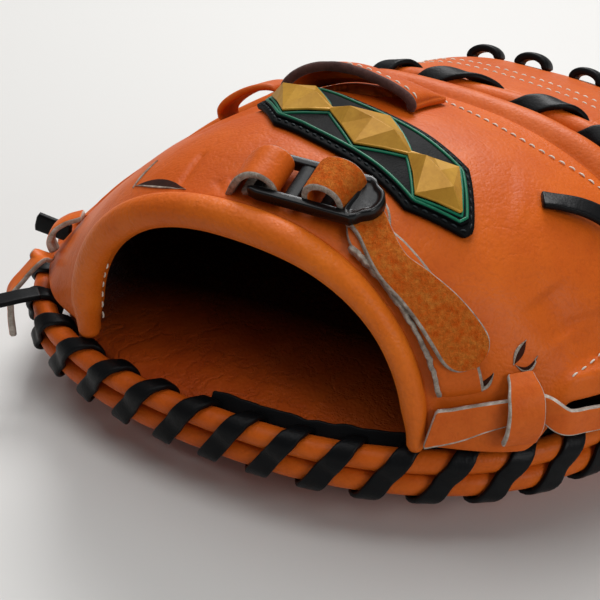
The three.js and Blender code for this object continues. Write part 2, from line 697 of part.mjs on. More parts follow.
// Tie thongs and loose lace ends: places on the hand back, or plain positions
const TIE = { width: 7.6, thick: 2.2 };
const UPRIGHT = vec(0, 0, 1);
const TANGENT = vec(0.67, -0.74, 0); // along the outline beside the little finger
const THUMB_TIE = [
  { across: 0.97, along: 0.09, lift: 2.4 },
  { across: 0.966, along: 0.14, lift: 2 },
  { across: 0.962, along: 0.2, lift: 1.9 },
  { across: 0.958, along: 0.26, lift: 1.9 },
  { across: 0.955, along: 0.32, lift: 1.9 },
  { across: 0.956, along: 0.38, lift: 2.9 },
  { x: 96.8, y: -82, z: 46.3 },
  { x: 100.6, y: -76, z: 45 },
  { x: 106.2, y: -67, z: 44.2 },
  { x: 110.6, y: -57.5, z: 43.4 },
  { x: 112.6, y: -51, z: 43 },
];
const THUMB_KNOT = [
  { across: 0.91, along: 0.32, lift: 1.6 },
  { across: 0.924, along: 0.32, lift: 4.6 },
  { across: 0.938, along: 0.32, lift: 6.3 },
  { across: 0.955, along: 0.32, lift: 6.7 },
  { across: 0.97, along: 0.32, lift: 5.6 },
  { across: 0.983, along: 0.32, lift: 3.2 },
  { across: 0.99, along: 0.32, lift: 1.6 },
];
const FINGER_TIE = [
  { across: 0.035, along: 0.5, lift: 4.2 },
  { across: 0.03, along: 0.45, lift: 6 },
  { x: -99.6, y: -86.5, z: 37.5 },
  { x: -101, y: -92, z: 33 },
  { x: -99, y: -95.5, z: 27.5 },
  { x: -96, y: -98.5, z: 21 },
];
const FINGER_KNOT = [
  { across: 0.12, along: 0.56, lift: 1.6 },
  { across: 0.1, along: 0.555, lift: 4.4 },
  { across: 0.08, along: 0.55, lift: 5.6 },
  { across: 0.058, along: 0.545, lift: 4.6 },
  { across: 0.045, along: 0.54, lift: 1.7 },
];
const LACE_END_BACK = [
  { across: 0.722, along: 0.625, lift: 1.9 },
  { across: 0.736, along: 0.67, lift: 3.2 },
  { across: 0.75, along: 0.72, lift: 4 },
  { across: 0.765, along: 0.77, lift: 4.2 },
  { across: 0.78, along: 0.82, lift: 3.6 },
];
const LACE_END_UPPER = [
  { x: -105.4, y: -55.2, z: 38 },
  { x: -109, y: -56, z: 38.6 },
  { x: -112.5, y: -57, z: 39.6 },
  { x: -117, y: -58.5, z: 41 },
];
const LACE_END_LOWER = [
  { x: -88, y: -93, z: 36.9 },
  { x: -92.5, y: -98.5, z: 36.7 },
  { x: -97, y: -103.5, z: 36.1 },
];
const freePlace = (row) => ("y" in row ? vec(row.x, row.y, row.z) : place(row));
const freeBand = (route, side, width, thick) =>
  band(route.map(freePlace), route.map(() => side), width, thick);

// Short loops of the finger lacing over the far side of the rim
const RIM_LOOPS = { count: 3, from: 95.5 * DEG, to: 76 * DEG, row: 4, half: 5.5, rise: 3.2, foot: 0.45 };
function rimLoop(i) {
  const angle = mix(RIM_LOOPS.from, RIM_LOOPS.to, i / (RIM_LOOPS.count - 1));
  const section = rimSection(angle, false);
  const ahead = rimSection(angle - 0.02, false);
  const { row } = RIM_LOOPS;
  const at = section[row].clone();
  const along = ahead[row].clone().sub(at).normalize();
  const over = section[row + 1].clone().sub(section[row - 1]).normalize();
  const out = over.clone().cross(along).normalize();
  if (out.z < 0) out.negate();
  const path = spread(0, Math.PI, 8).map((a) =>
    at
      .clone()
      .addScaledVector(along, -RIM_LOOPS.half * Math.cos(a))
      .addScaledVector(out, RIM_LOOPS.foot + RIM_LOOPS.rise * Math.sin(a)),
  );
  return band(path, path.map(() => over), LACE.width, LACE.thick);
}

// Flat laces that hold the web panel to the crotch and hook round its outer edge
const WEB_LACES = [51 * DEG, 39 * DEG, 27 * DEG];
const WEB_HOOK = { above: 0.75, below: 0.75, beyond: 1.9, back: 9 };
function webLace(angle) {
  const near = edgeRadius(angle) + WEB_PANEL.inset + 1;
  const far = outlineRadius(angle) * WEB_PANEL.outer;
  const over = WEB_PANEL.thick + LACE.thick / 2 + WEB_HOOK.above;
  const path = spread(0, 1, 5).map((s) => {
    const z = WEB_PANEL.z + over + WEB_PANEL.arch * Math.sin(Math.PI * s);
    return around(angle, mix(near, far, s), z);
  });
  const under = WEB_PANEL.z - LACE.thick / 2 - WEB_HOOK.below;
  const edge = far + WEB_HOOK.beyond;
  path.push(around(angle, edge, WEB_PANEL.z + 2.4), around(angle, edge, under + 1.6));
  path.push(around(angle, far - 0.5, under), around(angle, far - WEB_HOOK.back, under + 1.2));
  const side = vec(-Math.sin(angle), Math.cos(angle), 0);
  return band(path, path.map(() => side), LACE.width, LACE.thick);
}

// Palm and hand-back leather
add("palm_pad", palmPad(), LINER);
add("heel_roll_upper", heelRoll(ROLL.upperZ), ORANGE);
add("heel_roll_lower", heelRoll(ROLL.lowerZ), ORANGE);
add("heel_lace", heelLace(), BLACK_LACE);
add("wrist_binding", wristBinding(), LIGHT_ORANGE);
const backHoles = [fingerHole(), slitFor(STRAP_ROUTE), slitFor(TAB_ROUTE)];
const panelAcross = spread(0, 1, COLUMNS_ACROSS);
const panelAlong = spread(BINDING.panelStart, 1, 10);
const panel = wall(backGrid(panelAcross, panelAlong, 0), backGrid(panelAcross, panelAlong, -LEATHER));
add("back_panel", cut(panel, ...backHoles), ORANGE);
const liningAcross = spread(0.05, 0.86, 18);
const liningAlong = spread(BINDING.liningStart, 0.8, 6);
const liningTop = -LEATHER - GAP;
const lining = wall(
  backGrid(liningAcross, liningAlong, liningTop),
  backGrid(liningAcross, liningAlong, liningTop - LINING),
);
add("back_lining", cut(lining, ...backHoles), PILE);
add("knuckle_pad", knucklePad(0.02, 0.98, 32), ORANGE);
add("finger_rim", rim(WEB.to, RIM.finger), ORANGE);
add("web_crotch", rim(WEB.from, WEB.to), ORANGE);
add("thumb_rim", rim(RIM.thumb, WEB.from), ORANGE);
add("welt", weltRoll(0.02, 0.98, 30), ORANGE);
add("welt_lace", weltLace(0.2, 0.86), BLACK_LACE);
add("web_panel", webPanel(), ORANGE);
add("strap", laidBand(STRAP_ROUTE, STRAP.width, STRAP.thick, roundTip), SUEDE);
add("strap_tab", laidBand(TAB_ROUTE, STRAP.width, STRAP.thick), ORANGE);
add("buckle", buckle(), BUCKLE_PLASTIC);
add("badge_backing", badgePlate(0, SEAT, 2.2), BADGE_BLACK);
add("badge_border", badgePlate(0.075, 2.55, 3.1), BADGE_GREEN);
["left", "middle", "right"].forEach((side, i) =>
  add(`badge_lozenge_${side}`, lozenge(0.56 * (i - 1)), BADGE_GOLD),
);
add("finger_hood", hoodShell(FINGER_HOOD, [0, 0.33, 0.67, 1], 10), ORANGE);
add("hood_edging", hoodEdging(), BROWN);
add("side_loop", hoodShell(SIDE_LOOP, [0, 1], 8), ORANGE);
add("thumb_tie", freeBand(THUMB_TIE, UPRIGHT, TIE.width, TIE.thick), ORANGE);
add("thumb_knot", laidBand(THUMB_KNOT, TIE.width, TIE.thick), ORANGE);
add("finger_tie", freeBand(FINGER_TIE, TANGENT, TIE.width, TIE.thick), ORANGE);
add("finger_knot", laidBand(FINGER_KNOT, TIE.width, TIE.thick), ORANGE);
add("lace_end_back", laidBand(LACE_END_BACK, LACE.width, LACE.thick), BLACK_LACE);
add("lace_end_upper", freeBand(LACE_END_UPPER, UPRIGHT, LACE.width, LACE.thick), BLACK_LACE);
add("lace_end_lower", freeBand(LACE_END_LOWER, TANGENT, LACE.width, LACE.thick), BLACK_LACE);
["left", "middle", "right"].forEach((side, i) => add(`rim_loop_${side}`, rimLoop(i), BLACK_LACE));
WEB_LACES.forEach((at, i) => add(`web_lace_${i + 1}`, webLace(at), BLACK_LACE));

export default mitt;
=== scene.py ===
"""Dresses a leather catcher's mitt, lying palm down, over its solid frame.

Sizes are in millimetres and become metres when a mesh is made. +X points to the thumb side,
+Y to the fingertips and +Z up. On the hand back, across runs from the little-finger foot (0)
to the thumb foot (1), and along from the wrist edge (0) to the knuckle seam (1).
"""
import logging
import math
from dataclasses import dataclass
from enum import Enum
from typing import Callable, Optional, Sequence, Union

import bmesh
import bpy
import numpy as np
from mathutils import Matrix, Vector, noise


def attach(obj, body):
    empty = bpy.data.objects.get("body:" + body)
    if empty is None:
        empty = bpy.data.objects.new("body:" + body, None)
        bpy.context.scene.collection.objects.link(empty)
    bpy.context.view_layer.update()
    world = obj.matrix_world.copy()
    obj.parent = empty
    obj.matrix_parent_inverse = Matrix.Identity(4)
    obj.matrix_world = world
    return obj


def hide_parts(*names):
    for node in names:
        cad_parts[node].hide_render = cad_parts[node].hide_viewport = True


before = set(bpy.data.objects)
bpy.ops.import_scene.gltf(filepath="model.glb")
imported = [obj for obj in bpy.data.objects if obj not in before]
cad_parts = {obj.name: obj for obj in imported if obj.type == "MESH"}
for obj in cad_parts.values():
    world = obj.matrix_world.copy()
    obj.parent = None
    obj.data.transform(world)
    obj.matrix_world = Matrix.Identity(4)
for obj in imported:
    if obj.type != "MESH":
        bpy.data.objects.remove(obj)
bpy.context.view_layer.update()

log = logging.getLogger("mitt")
Array = np.ndarray
Values = Union[float, Array]
Socket = bpy.types.NodeSocket
Marks = Union[int, Sequence[int]]

MM = 0.001
DEG = math.pi / 180
ROOT = "root"
SEAT = 0.45
EDGE_BULGE = 0.8
EDGE_ANGLES = (0.9, 0.3, -0.3, -0.9)
PIT_SHADE = 0.35
# Near-black tone and its greatest share for the painted shade deep in the palm's hollow.
PAINTED_SHADE_TONE = "0a0505"
PAINTED_SHADE_SHARE = 0.96
SHEEN_ROUGHNESS = 0.45


# Numbers and curves


def mix(a: Values, b: Values, s: Values) -> Values:
    """Value a share s of the way from a to b."""
    return a + (b - a) * s


def smooth(x: Values) -> Values:
    """Soft step from 0 to 1."""
    x = np.clip(x, 0, 1)
    return x * x * (3 - 2 * x)


def bell(x: Values, middle: float, width: float) -> Values:
    """Soft bump of height 1 round a middle."""
    return np.exp(-(((x - middle) / width) ** 2))


def unit(v: Array) -> Array:
    """Vectors scaled to length 1."""
    return v / np.maximum(np.linalg.norm(v, axis=-1, keepdims=True), 1e-9)


def square_to(line: Array, v: Array) -> Array:
    """Unit directions nearest to v that stand square to unit lines."""
    return unit(v - line * np.sum(v * line, axis=-1, keepdims=True))


def curve(at: Sequence[float], values: Sequence[float], x: Values) -> Array:
    """Smooth curve through a table.

    Args:
        at: Places of the rows, rising.
        values: Values of the rows.
        x: Places to read.

    Returns:
        The values there.
    """
    at, values = np.asarray(at, float), np.asarray(values, float)
    x = np.asarray(x, float)
    i = np.searchsorted(at[1:-1], x, side="left")
    slopes = np.diff(values) / np.diff(at)
    pulls = np.concatenate([slopes[:1], (slopes[1:] + slopes[:-1]) / 2, slopes[-1:]])
    h = at[i + 1] - at[i]
    s = (x - at[i]) / h
    pull = h * s * (1 - s) * (pulls[i] * (1 - s) - pulls[i + 1] * s)
    return values[i] * (1 + 2 * s) * (1 - s) ** 2 + values[i + 1] * s * s * (3 - 2 * s) + pull


def even_path(rows: Sequence, count: int) -> Array:
    """Smooth path through points, with even steps.

    Args:
        rows: Points in order.
        count: Number of points wanted.

    Returns:
        The points of the path.
    """
    rows = np.asarray(rows, float)
    for fine in (max(200, count * 3), count):
        steps = np.linalg.norm(np.diff(rows, axis=0), axis=1)
        at = np.concatenate([[0], np.cumsum(np.maximum(steps, 1e-6))])
        x = np.linspace(0, at[-1], fine)
        rows = np.stack([curve(at, rows[:, k], x) for k in range(3)], axis=1)
    return rows


def cut_corners(rows: Array, times: int = 2) -> Array:
    """Profile with its corners rounded by cutting, ends kept.

    Args:
        rows: Points of the profile.
        times: How often the corners are cut.

    Returns:
        The rounded profile.
    """
    rows = np.asarray(rows, float)
    for _ in range(times):
        near, far = rows[:-1] * 0.75 + rows[1:] * 0.25, rows[:-1] * 0.25 + rows[1:] * 0.75
        rows = np.concatenate([rows[:1], np.stack([near, far], 1).reshape(-1, rows.shape[1]), rows[-1:]])
    return rows


def ripple(points: Array, size: float, seed: float = 0.0) -> Array:
    """Soft noise from -1 to 1 at points, with waves of a size in millimetres.

    Args:
        points: Where it is read.
        size: Length of its waves.
        seed: Shift that gives another pattern.

    Returns:
        One value a point.
    """
    flat = points.reshape(-1, 3) / size + seed
    values = [noise.noise(Vector(p)) for p in flat]
    return np.array(values).reshape(points.shape[:-1])


# Shared forms of the mitt


UPRIGHT = (0.0, 0.0, 1.0)


@dataclass(frozen=True)
class Swell:
    """Local swell of the outline."""

    at: float
    by: float
    width: float


@dataclass(frozen=True)
class Zone:
    """Stretch of the outline, in degrees, with soft ends."""

    start: float
    end: float
    fade: float

    def share(self, angle: Array) -> Array:
        """How far angles, in radians, lie inside, from 0 to 1.

        Args:
            angle: The angles.

        Returns:
            The share at each angle.
        """
        turned = np.mod(angle + math.pi, 2 * math.pi) - math.pi
        rise = smooth((turned / DEG - self.start) / self.fade)
        return rise * smooth((self.end - turned / DEG) / self.fade)


@dataclass(frozen=True)
class Outline:
    """Outline of the mitt seen from above."""

    half_width: float = 125
    half_length: float = 124
    squareness: float = 2.15
    swells: tuple[Swell, ...] = (
        Swell(90, -2, 60),
        Swell(222, 4, 16),
        Swell(270, -6.5, 28),
        Swell(304, -5, 22),
        Swell(335, -10, 18),
    )
    web: Zone = Zone(16, 62, 7)
    notch: float = 0.33
    heel: Zone = Zone(-158, -20, 1.5)
    setback: float = 13.4

    def radius(self, angle: Array) -> Array:
        """Radius at angles in radians.

        Args:
            angle: The angles.

        Returns:
            The radius at each angle.
        """
        angle = np.asarray(angle, float)
        c = np.abs(np.cos(angle) / self.half_width) ** self.squareness
        s = np.abs(np.sin(angle) / self.half_length) ** self.squareness
        turned = np.mod(angle, 2 * math.pi) / DEG
        return (c + s) ** (-1 / self.squareness) + sum(
            w.by * bell(turned, w.at, w.width) for w in self.swells
        )

    def edge(self, angle: Array) -> Array:
        """Radius with the web's notch."""
        return self.radius(angle) * (1 - self.notch * self.web.share(angle))

    def pad(self, angle: Array) -> Array:
        """Radius of the padded palm."""
        return self.edge(angle) - self.setback * self.heel.share(angle)


def around(angle: Array, radius: Values, z: Values) -> Array:
    """Points at angles and radii round the middle of the mitt."""
    angle, radius, z = np.broadcast_arrays(angle, radius, z)
    return np.stack([radius * np.cos(angle), radius * np.sin(angle), z], axis=-1)


@dataclass(frozen=True)
class Arch:
    """Arch over the hand from foot to foot, at a place along the back."""

    along: float
    half_finger: float
    half_thumb: float
    foot_y: float
    foot_z: float
    crown_y: float
    crown_z: float
    full_finger: float
    full_thumb: float
    flat_finger: float
    lean: float


def arch_point(arch: Arch, across: Values) -> Array:
    """Point on an arch, or on many arches whose fields are arrays.

    Args:
        arch: The arch.
        across: Places from foot to foot.

    Returns:
        Points in millimetres.
    """
    across = np.asarray(across, float)
    t = np.pi * np.clip(across, 0, 1)
    c, s = np.cos(t), np.maximum(0, np.sin(t))
    full = mix(arch.full_finger, arch.full_thumb, smooth((across - 0.4) / 0.2))
    flat = np.where(c > 0, arch.flat_finger, 0)
    half = np.where(c > 0, arch.half_finger, arch.half_thumb)
    x = -(half - flat) * np.sign(c) * np.abs(c) ** (2 / full) - flat * (1 - (1 - c) ** 3)
    y = mix(arch.foot_y, arch.crown_y, s**arch.lean)
    z = mix(arch.foot_z, arch.crown_z, s ** (2 / full))
    return np.stack([x, y, z], axis=-1)


@dataclass(frozen=True)
class HandBack:
    """Curved hand back, one arch a row."""

    arches: tuple[Arch, ...] = (
        Arch(0.0, 59.5, 59.5, -101, 36, -105, 93.5, 2.25, 2.35, 0, 1),
        Arch(0.3, 84, 84, -90, 36.4, -76, 104, 1.5, 2.3, 18, 1),
        Arch(0.62, 101, 102, -70, 37, -40, 107, 1.25, 2.25, 18, 1),
        Arch(1.0, 106, 111, -46, 38, -5, 100, 1.22, 2.25, 18, 0.9),
    )
    vent_rise: float = 15
    vent: tuple[float, float, float] = (0.34, 0.84, 0.86)

    def point(self, across: Values, along: Values) -> Array:
        """Points of the surface at places across and along.

        Args:
            across: Places from foot to foot.
            along: Places from the wrist to the knuckles.

        Returns:
            The points.
        """
        across, along = np.broadcast_arrays(np.asarray(across, float), np.asarray(along, float))
        at = [a.along for a in self.arches]
        names = list(Arch.__dataclass_fields__)[1:]
        columns = [curve(at, [getattr(a, n) for a in self.arches], along) for n in names]
        p = arch_point(Arch(along, *columns), across)
        start, end, side = self.vent
        opening = smooth((along - start) * 6) * smooth((end - along) * 6)
        p[..., 2] += self.vent_rise * opening * smooth((across - side) / (1 - side)) ** 2
        return p

    def normal(self, across: Values, along: Values) -> Array:
        """Outward normals of the surface.

        Args:
            across: Places from foot to foot.
            along: Places from the wrist to the knuckles.

        Returns:
            The normals.
        """
        d = 0.01
        u = np.clip(across, 0.02, 0.98)
        by_u = self.point(u + d, along) - self.point(u - d, along)
        by_v = self.point(u, np.asarray(along) + d) - self.point(u, np.asarray(along) - d)
        return unit(np.cross(by_u, by_v))

    def on(self, across: Values, along: Values, lift: Values) -> Array:
        """Points at a lift over the surface."""
        lift = np.asarray(lift, float)[..., None]
        return self.point(across, along) + self.normal(across, along) * lift


OUTLINE = Outline()
BACK = HandBack()
WELT_ARCH = Arch(1, 109.5, 116, -38, 36, 15, 97, 1.2, 2.6, 18, 0.7)


@dataclass
class WeltFrames:
    """Centre line of the welt with its outward and upward directions."""

    centre: Array
    out: Array
    up: Array


def welt_frames(across: Array, lift: float = -1.5) -> WeltFrames:
    """Frames of the welt between the knuckle pad and the rim.

    Args:
        across: Places from foot to foot.
        lift: Height of the welt's middle line over its arch.

    Returns:
        The frames there.
    """
    across = np.asarray(across, float)
    centre = arch_point(WELT_ARCH, across)
    toward = centre - BACK.point(across, 1.0)
    toward[..., 2] = 0
    u = np.clip(across, 0.005, 0.995)
    line = unit(arch_point(WELT_ARCH, u + 0.005) - arch_point(WELT_ARCH, u - 0.005))
    out = square_to(line, toward)
    up = np.cross(line, out)
    return WeltFrames(centre + up * lift, out, up)


# Meshes


class Cage:
    """Points and faces of one piece, gathered in millimetres."""

    def __init__(self) -> None:
        """Starts empty."""
        self.points: list[Array] = []
        self.faces: list[tuple[int, ...]] = []
        self.finish: list[int] = []
        self.count = 0

    def add(self, points: Array, faces: Sequence, finish: Marks = 0) -> None:
        """Adds a patch.

        Args:
            points: Its points.
            faces: Faces by index into those points.
            finish: Number of its finish, or one number a face.
        """
        flat = np.asarray(points, float).reshape(-1, 3)
        self.faces += [tuple(int(i) + self.count for i in f) for f in faces]
        self.finish += [finish] * len(faces) if isinstance(finish, int) else list(finish)
        self.points.append(flat)
        self.count += len(flat)

    def rings(self, loops: Array, finish: Marks = 0) -> None:
        """Adds a skin through loops of points, closed at its two ends.

        Args:
            loops: Loops with the same number of points each.
            finish: Number of the finish, or one number a point of the loop.
        """
        rows, n = loops.shape[:2]
        faces, marks = [], []
        by_point = [finish] * n if isinstance(finish, int) else list(finish)
        for i in range(rows - 1):
            for j in range(n):
                m = (j + 1) % n
                faces.append((i * n + j, i * n + m, (i + 1) * n + m, (i + 1) * n + j))
                marks.append(by_point[j])
        faces.append(tuple(range(n - 1, -1, -1)))
        faces.append(tuple((rows - 1) * n + j for j in range(n)))
        marks += [by_point[0]] * 2
        self.add(loops, faces, marks)

    def wall(
        self,
        upper: Array,
        lower: Array,
        finish: tuple[int, int, int] = (0, 0, 0),
        keep: Optional[Array] = None,
    ) -> None:
        """Adds a wall between two grids, with rounded free edges.

        Args:
            upper: Outer grid of points.
            lower: Inner grid of points.
            finish: Numbers of the outer, inner and edge finishes.
            keep: Which cells stay; the rest become a hole through the wall.
        """
        rows, cols = upper.shape[:2]
        keep = np.ones((rows - 1, cols - 1), bool) if keep is None else keep
        total = rows * cols
        faces, marks = [], []
        for i in range(rows - 1):
            for j in range(cols - 1):
                a, b, c, d = i * cols + j, i * cols + j + 1, (i + 1) * cols + j + 1, (i + 1) * cols + j
                if keep[i, j]:
                    faces += [(a, b, c, d), (total + a, total + d, total + c, total + b)]
                    marks += [finish[0], finish[1]]
                    continue
                sides = [(a, b, i - 1, j), (b, c, i, j + 1), (c, d, i + 1, j), (d, a, i, j - 1)]
                for p, q, k, m in sides:
                    if 0 <= k < rows - 1 and 0 <= m < cols - 1 and keep[k, m]:
                        faces.append((p, q, total + q, total + p))
                        marks.append(finish[2])
        ring = [(0, j) for j in range(cols - 1)] + [(i, cols - 1) for i in range(rows - 1)]
        ring += [(rows - 1, j) for j in range(cols - 1, 0, -1)] + [(i, 0) for i in range(rows - 1, 0, -1)]
        inner = [(min(max(i, 1), rows - 2), min(max(j, 1), cols - 2)) for i, j in ring]
        edge = np.array(ring)
        near = np.array(inner)
        top, low = upper[edge[:, 0], edge[:, 1]], lower[edge[:, 0], edge[:, 1]]
        half = (top - low) / 2
        out = top - upper[near[:, 0], near[:, 1]]
        up = unit(half)
        out = square_to(up, out)
        reach = np.linalg.norm(half, axis=-1, keepdims=True)
        middle = (top + low) / 2
        rounds = [
            middle + half * math.sin(a) + out * reach * EDGE_BULGE * math.cos(a) for a in EDGE_ANGLES
        ]
        n = len(ring)
        starts = [i * cols + j for i, j in ring]
        loops = [starts]
        loops += [[2 * total + k * n + j for j in range(n)] for k in range(len(rounds))]
        loops.append([total + s for s in starts])
        for one, two in zip(loops, loops[1:]):
            for j in range(n):
                m = (j + 1) % n
                faces.append((one[j], two[j], two[m], one[m]))
                marks.append(finish[2])
        points = np.concatenate([upper.reshape(-1, 3), lower.reshape(-1, 3), *rounds])
        self.add(points, faces, marks)

    def build(self, name: str, materials: Sequence[bpy.types.Material]) -> bpy.types.Object:
        """Makes the piece's object.

        Args:
            name: Name of the object.
            materials: Its finishes in order.

        Returns:
            The object, its faces turned out and smooth.
        """
        mesh = bpy.data.meshes.new(name)
        mesh.from_pydata((np.concatenate(self.points) * MM).tolist(), [], self.faces)
        for material in materials:
            mesh.materials.append(material)
        mesh.polygons.foreach_set("material_index", self.finish)
        work = bmesh.new()
        work.from_mesh(mesh)
        loose = [v for v in work.verts if not v.link_faces]
        bmesh.ops.delete(work, geom=loose, context="VERTS")
        bmesh.ops.recalc_face_normals(work, faces=work.faces)
        work.to_mesh(mesh)
        work.free()
        mesh.polygons.foreach_set("use_smooth", [True] * len(mesh.polygons))
        obj = bpy.data.objects.new(name, mesh)
        bpy.context.scene.collection.objects.link(obj)
        return obj


def full_turn(count: int) -> Array:
    """Even angles round a full turn."""
    return np.linspace(0, 2 * np.pi, count, endpoint=False)


def box_section(points: int = 24, power: float = 5.0) -> tuple[Array, Array]:
    """Section of a flat band of unit size with soft corners.

    Args:
        points: Number of points round.
        power: How square the corners are.

    Returns:
        Offsets sideways and upward.
    """
    c, s = np.cos(full_turn(points)), np.sin(full_turn(points))
    side = np.sign(c) * np.abs(c) ** (2 / power) / 2
    up = np.sign(s) * np.abs(s) ** (2 / power) / 2
    return side, up


@dataclass(frozen=True)
class End:
    """End of a strip or roll: its share of the full section, and how far out it reaches."""

    share: float
    reach: float


def with_ends(path: Array, along: Array, loops: Array, start: End, end: End) -> Array:
    """Loops with a smaller one beyond each end.

    Args:
        path: Points of the middle line.
        along: Its direction at each point.
        loops: Loop at each point.
        start: Shape of the first end.
        end: Shape of the last end.

    Returns:
        The loops with one more at each end.
    """
    first = path[0] + (loops[0] - path[0]) * start.share - along[0] * start.reach
    last = path[-1] + (loops[-1] - path[-1]) * end.share + along[-1] * end.reach
    return np.concatenate([first[None], loops, last[None]])


@dataclass(frozen=True)
class Strip:
    """Cut of a flat strip of leather."""

    width: float
    thick: float
    crown: float = 0.0
    waver: float = 0.0
    finish: tuple[int, int, int] = (0, 0, 0)
    round_ends: tuple[float, float] = (0.0, 0.0)
    slant: float = 0.0


def band(
    cage: Cage, path: Array, sides: Sequence, strip: Strip, pinch: Optional[Array] = None
) -> None:
    """Adds a flat strip along a path.

    Args:
        cage: Piece that takes it.
        path: Points of its middle line.
        sides: Direction of its width, or one a point.
        strip: Its cut, with finishes for the face, the edges and the back.
        pinch: Share of the width at each point.
    """
    along = unit(np.gradient(path, axis=0))
    side = square_to(along, np.asarray(sides))
    up = np.cross(side, along)
    length = np.concatenate([[0], np.cumsum(np.linalg.norm(np.diff(path, axis=0), axis=1))])
    share = np.ones(len(path)) if pinch is None else pinch.copy()
    for radius, from_end in ((strip.round_ends[0], length), (strip.round_ends[1], length[-1] - length)):
        if radius > 0:
            x = np.clip(1 - from_end / radius, 0, 1)
            share *= np.maximum(0.02, 1 - x**2.6) ** 0.45
    a, b = box_section()
    half_crown = strip.crown * (1 - (2 * a) ** 2)
    wave = ripple(path, 9, 3.1)[:, None] * strip.waver if strip.waver else 0
    width = (strip.width * share)[:, None] + wave
    lifts = b[None, :] * strip.thick + half_crown[None, :]
    if strip.waver:
        lifts = lifts + (ripple(path, 6, 8.7) * strip.waver * 0.35)[:, None]
    loops = path[:, None] + side[:, None] * (a[None, :] * width)[..., None] + up[:, None] * lifts[..., None]
    if strip.slant:
        lean = a[None, :] * strip.slant * (1 - smooth(length / strip.width))[:, None]
        loops = loops + along[:, None] * lean[..., None]
    loops = with_ends(path, along, loops, End(0.9, strip.thick * 0.2), End(0.6, strip.thick * 0.25))
    face, edge, back = strip.finish
    marks = [edge if abs(x) > 0.45 else face if y > 0 else back for x, y in zip(a, b)]
    cage.rings(loops, marks)


def roll(
    cage: Cage, path: Array, outs: Array, wide: Values, high: Values, finish: int = 0, sides: int = 28
) -> None:
    """Adds an oval roll along a path.

    Args:
        cage: Piece that takes it.
        path: Points of its middle line.
        outs: Direction of its wide axis at each point.
        wide: Full width, or one a point.
        high: Full height, or one a point.
        finish: Number of its finish.
        sides: Points round it.
    """
    along = unit(np.gradient(path, axis=0))
    out = square_to(along, np.asarray(outs))
    up = np.cross(along, out)
    a = full_turn(sides)
    wide = np.broadcast_to(wide, len(path))[:, None] / 2 * np.cos(a)
    high = np.broadcast_to(high, len(path))[:, None] / 2 * np.sin(a)
    loops = path[:, None] + out[:, None] * wide[..., None] + up[:, None] * high[..., None]
    cage.rings(with_ends(path, along, loops, End(0.7, 1.2), End(0.7, 1.2)), finish)


def winding(turns: int, steps: int, front_share: float) -> tuple[Array, Array]:
    """Course of a lace wound round and round.

    Args:
        turns: Number of turns.
        steps: Points a turn.
        front_share: Share of each turn's advance made at the front.

    Returns:
        Share of the way at each point, and the angle turned there.
    """
    q = np.linspace(0, turns - 1e-4, turns * steps)
    turn = np.floor(q)
    f = q - turn
    advance = np.where(f < 0.5, 2 * f * front_share, front_share + (2 * f - 1) * (1 - front_share))
    return (turn + advance) / turns, (2 * f - 0.5) * np.pi


def lace_pinch(rise: Array, by: float) -> Array:
    """Share of a lace's width where it turns over the top or the bottom."""
    return 1 - by * smooth((np.abs(rise) - 0.7) / 0.3)


def drawn_tight(
    turned: Array, half_gap: float, radius: float, dip: float
) -> tuple[Array, Array, Array, Array]:
    """Way of a lace drawn tight round one roll or two stacked ones.

    Args:
        turned: Angle round the rolls, 0 at the front and a quarter turn at the top.
        half_gap: Half the distance between the rolls' middles.
        radius: Distance of the lace from a roll's middle.
        dip: How far the lace sinks between the rolls.

    Returns:
        Offsets outward and upward, and the lace's normal in the same two directions.
    """
    flat = 0.5 if half_gap else 1e-3
    climb = np.arcsin(np.clip(np.sin(turned), -1, 1))
    side = np.where(np.cos(turned) >= 0, 1.0, -1.0)
    over = np.clip((np.abs(climb) - flat) / (np.pi / 2 - flat), 0, 1) * np.pi / 2
    level = np.minimum(1, np.abs(climb) / flat)
    up = np.sign(climb) * (half_gap * level + radius * np.sin(over))
    out = side * (radius * np.cos(over) - dip * np.cos(level * np.pi / 2) ** 2)
    return out, up, side * np.cos(over), np.sign(climb) * np.sin(over)


@dataclass(frozen=True)
class Thread:
    """Look of a row of stitches."""

    pitch: float = 3.5
    length: float = 2.3
    thick: float = 0.6
    lift: float = 0.15


def stitches(cage: Cage, rows: Array, normals: Array, thread: Thread, finish: int = 0) -> None:
    """Adds a row of stitches.

    Args:
        cage: Piece that takes them.
        rows: Points of the row's line.
        normals: Surface normals at those points.
        thread: Size of the stitches.
        finish: Number of their finish.
    """
    length = np.linalg.norm(np.diff(rows, axis=0), axis=1).sum()
    count = max(2, int(length / thread.pitch))
    fine = even_path(rows, count * 2 + 1)
    ups = unit(even_path(normals, count * 2 + 1))
    sides, steps = 6, 7
    t = np.linspace(-1, 1, steps)
    swell = np.sqrt(np.maximum(0.06, 1 - np.abs(t) ** 3))
    a = full_turn(sides)
    for i in range(count):
        at, up = fine[2 * i + 1], ups[2 * i + 1]
        along = unit(fine[2 * i + 2] - fine[2 * i])
        side = unit(np.cross(along, up))
        arc = thread.lift - thread.thick * 0.5 * t**2
        middle = at + along * (t * thread.length / 2)[:, None] + up * arc[:, None]
        around_it = (side * np.cos(a)[:, None] + up * np.sin(a)[:, None]) * thread.thick / 2
        cage.rings(middle[:, None] + around_it[None] * swell[:, None, None], finish)


def stitches_on_back(cage: Cage, rows: Sequence, thread: Thread, finish: int = 0) -> None:
    """Adds stitches along places (across, along) of the hand back.

    Args:
        cage: Piece that takes them.
        rows: Places of the row.
        thread: Size of the stitches.
        finish: Number of their finish.
    """
    places = even_path([(u, v, 0) for u, v in rows], 60)
    u, v = places[:, 0], places[:, 1]
    stitches(cage, BACK.on(u, v, 0.1), BACK.normal(u, v), thread, finish)


# Finishes


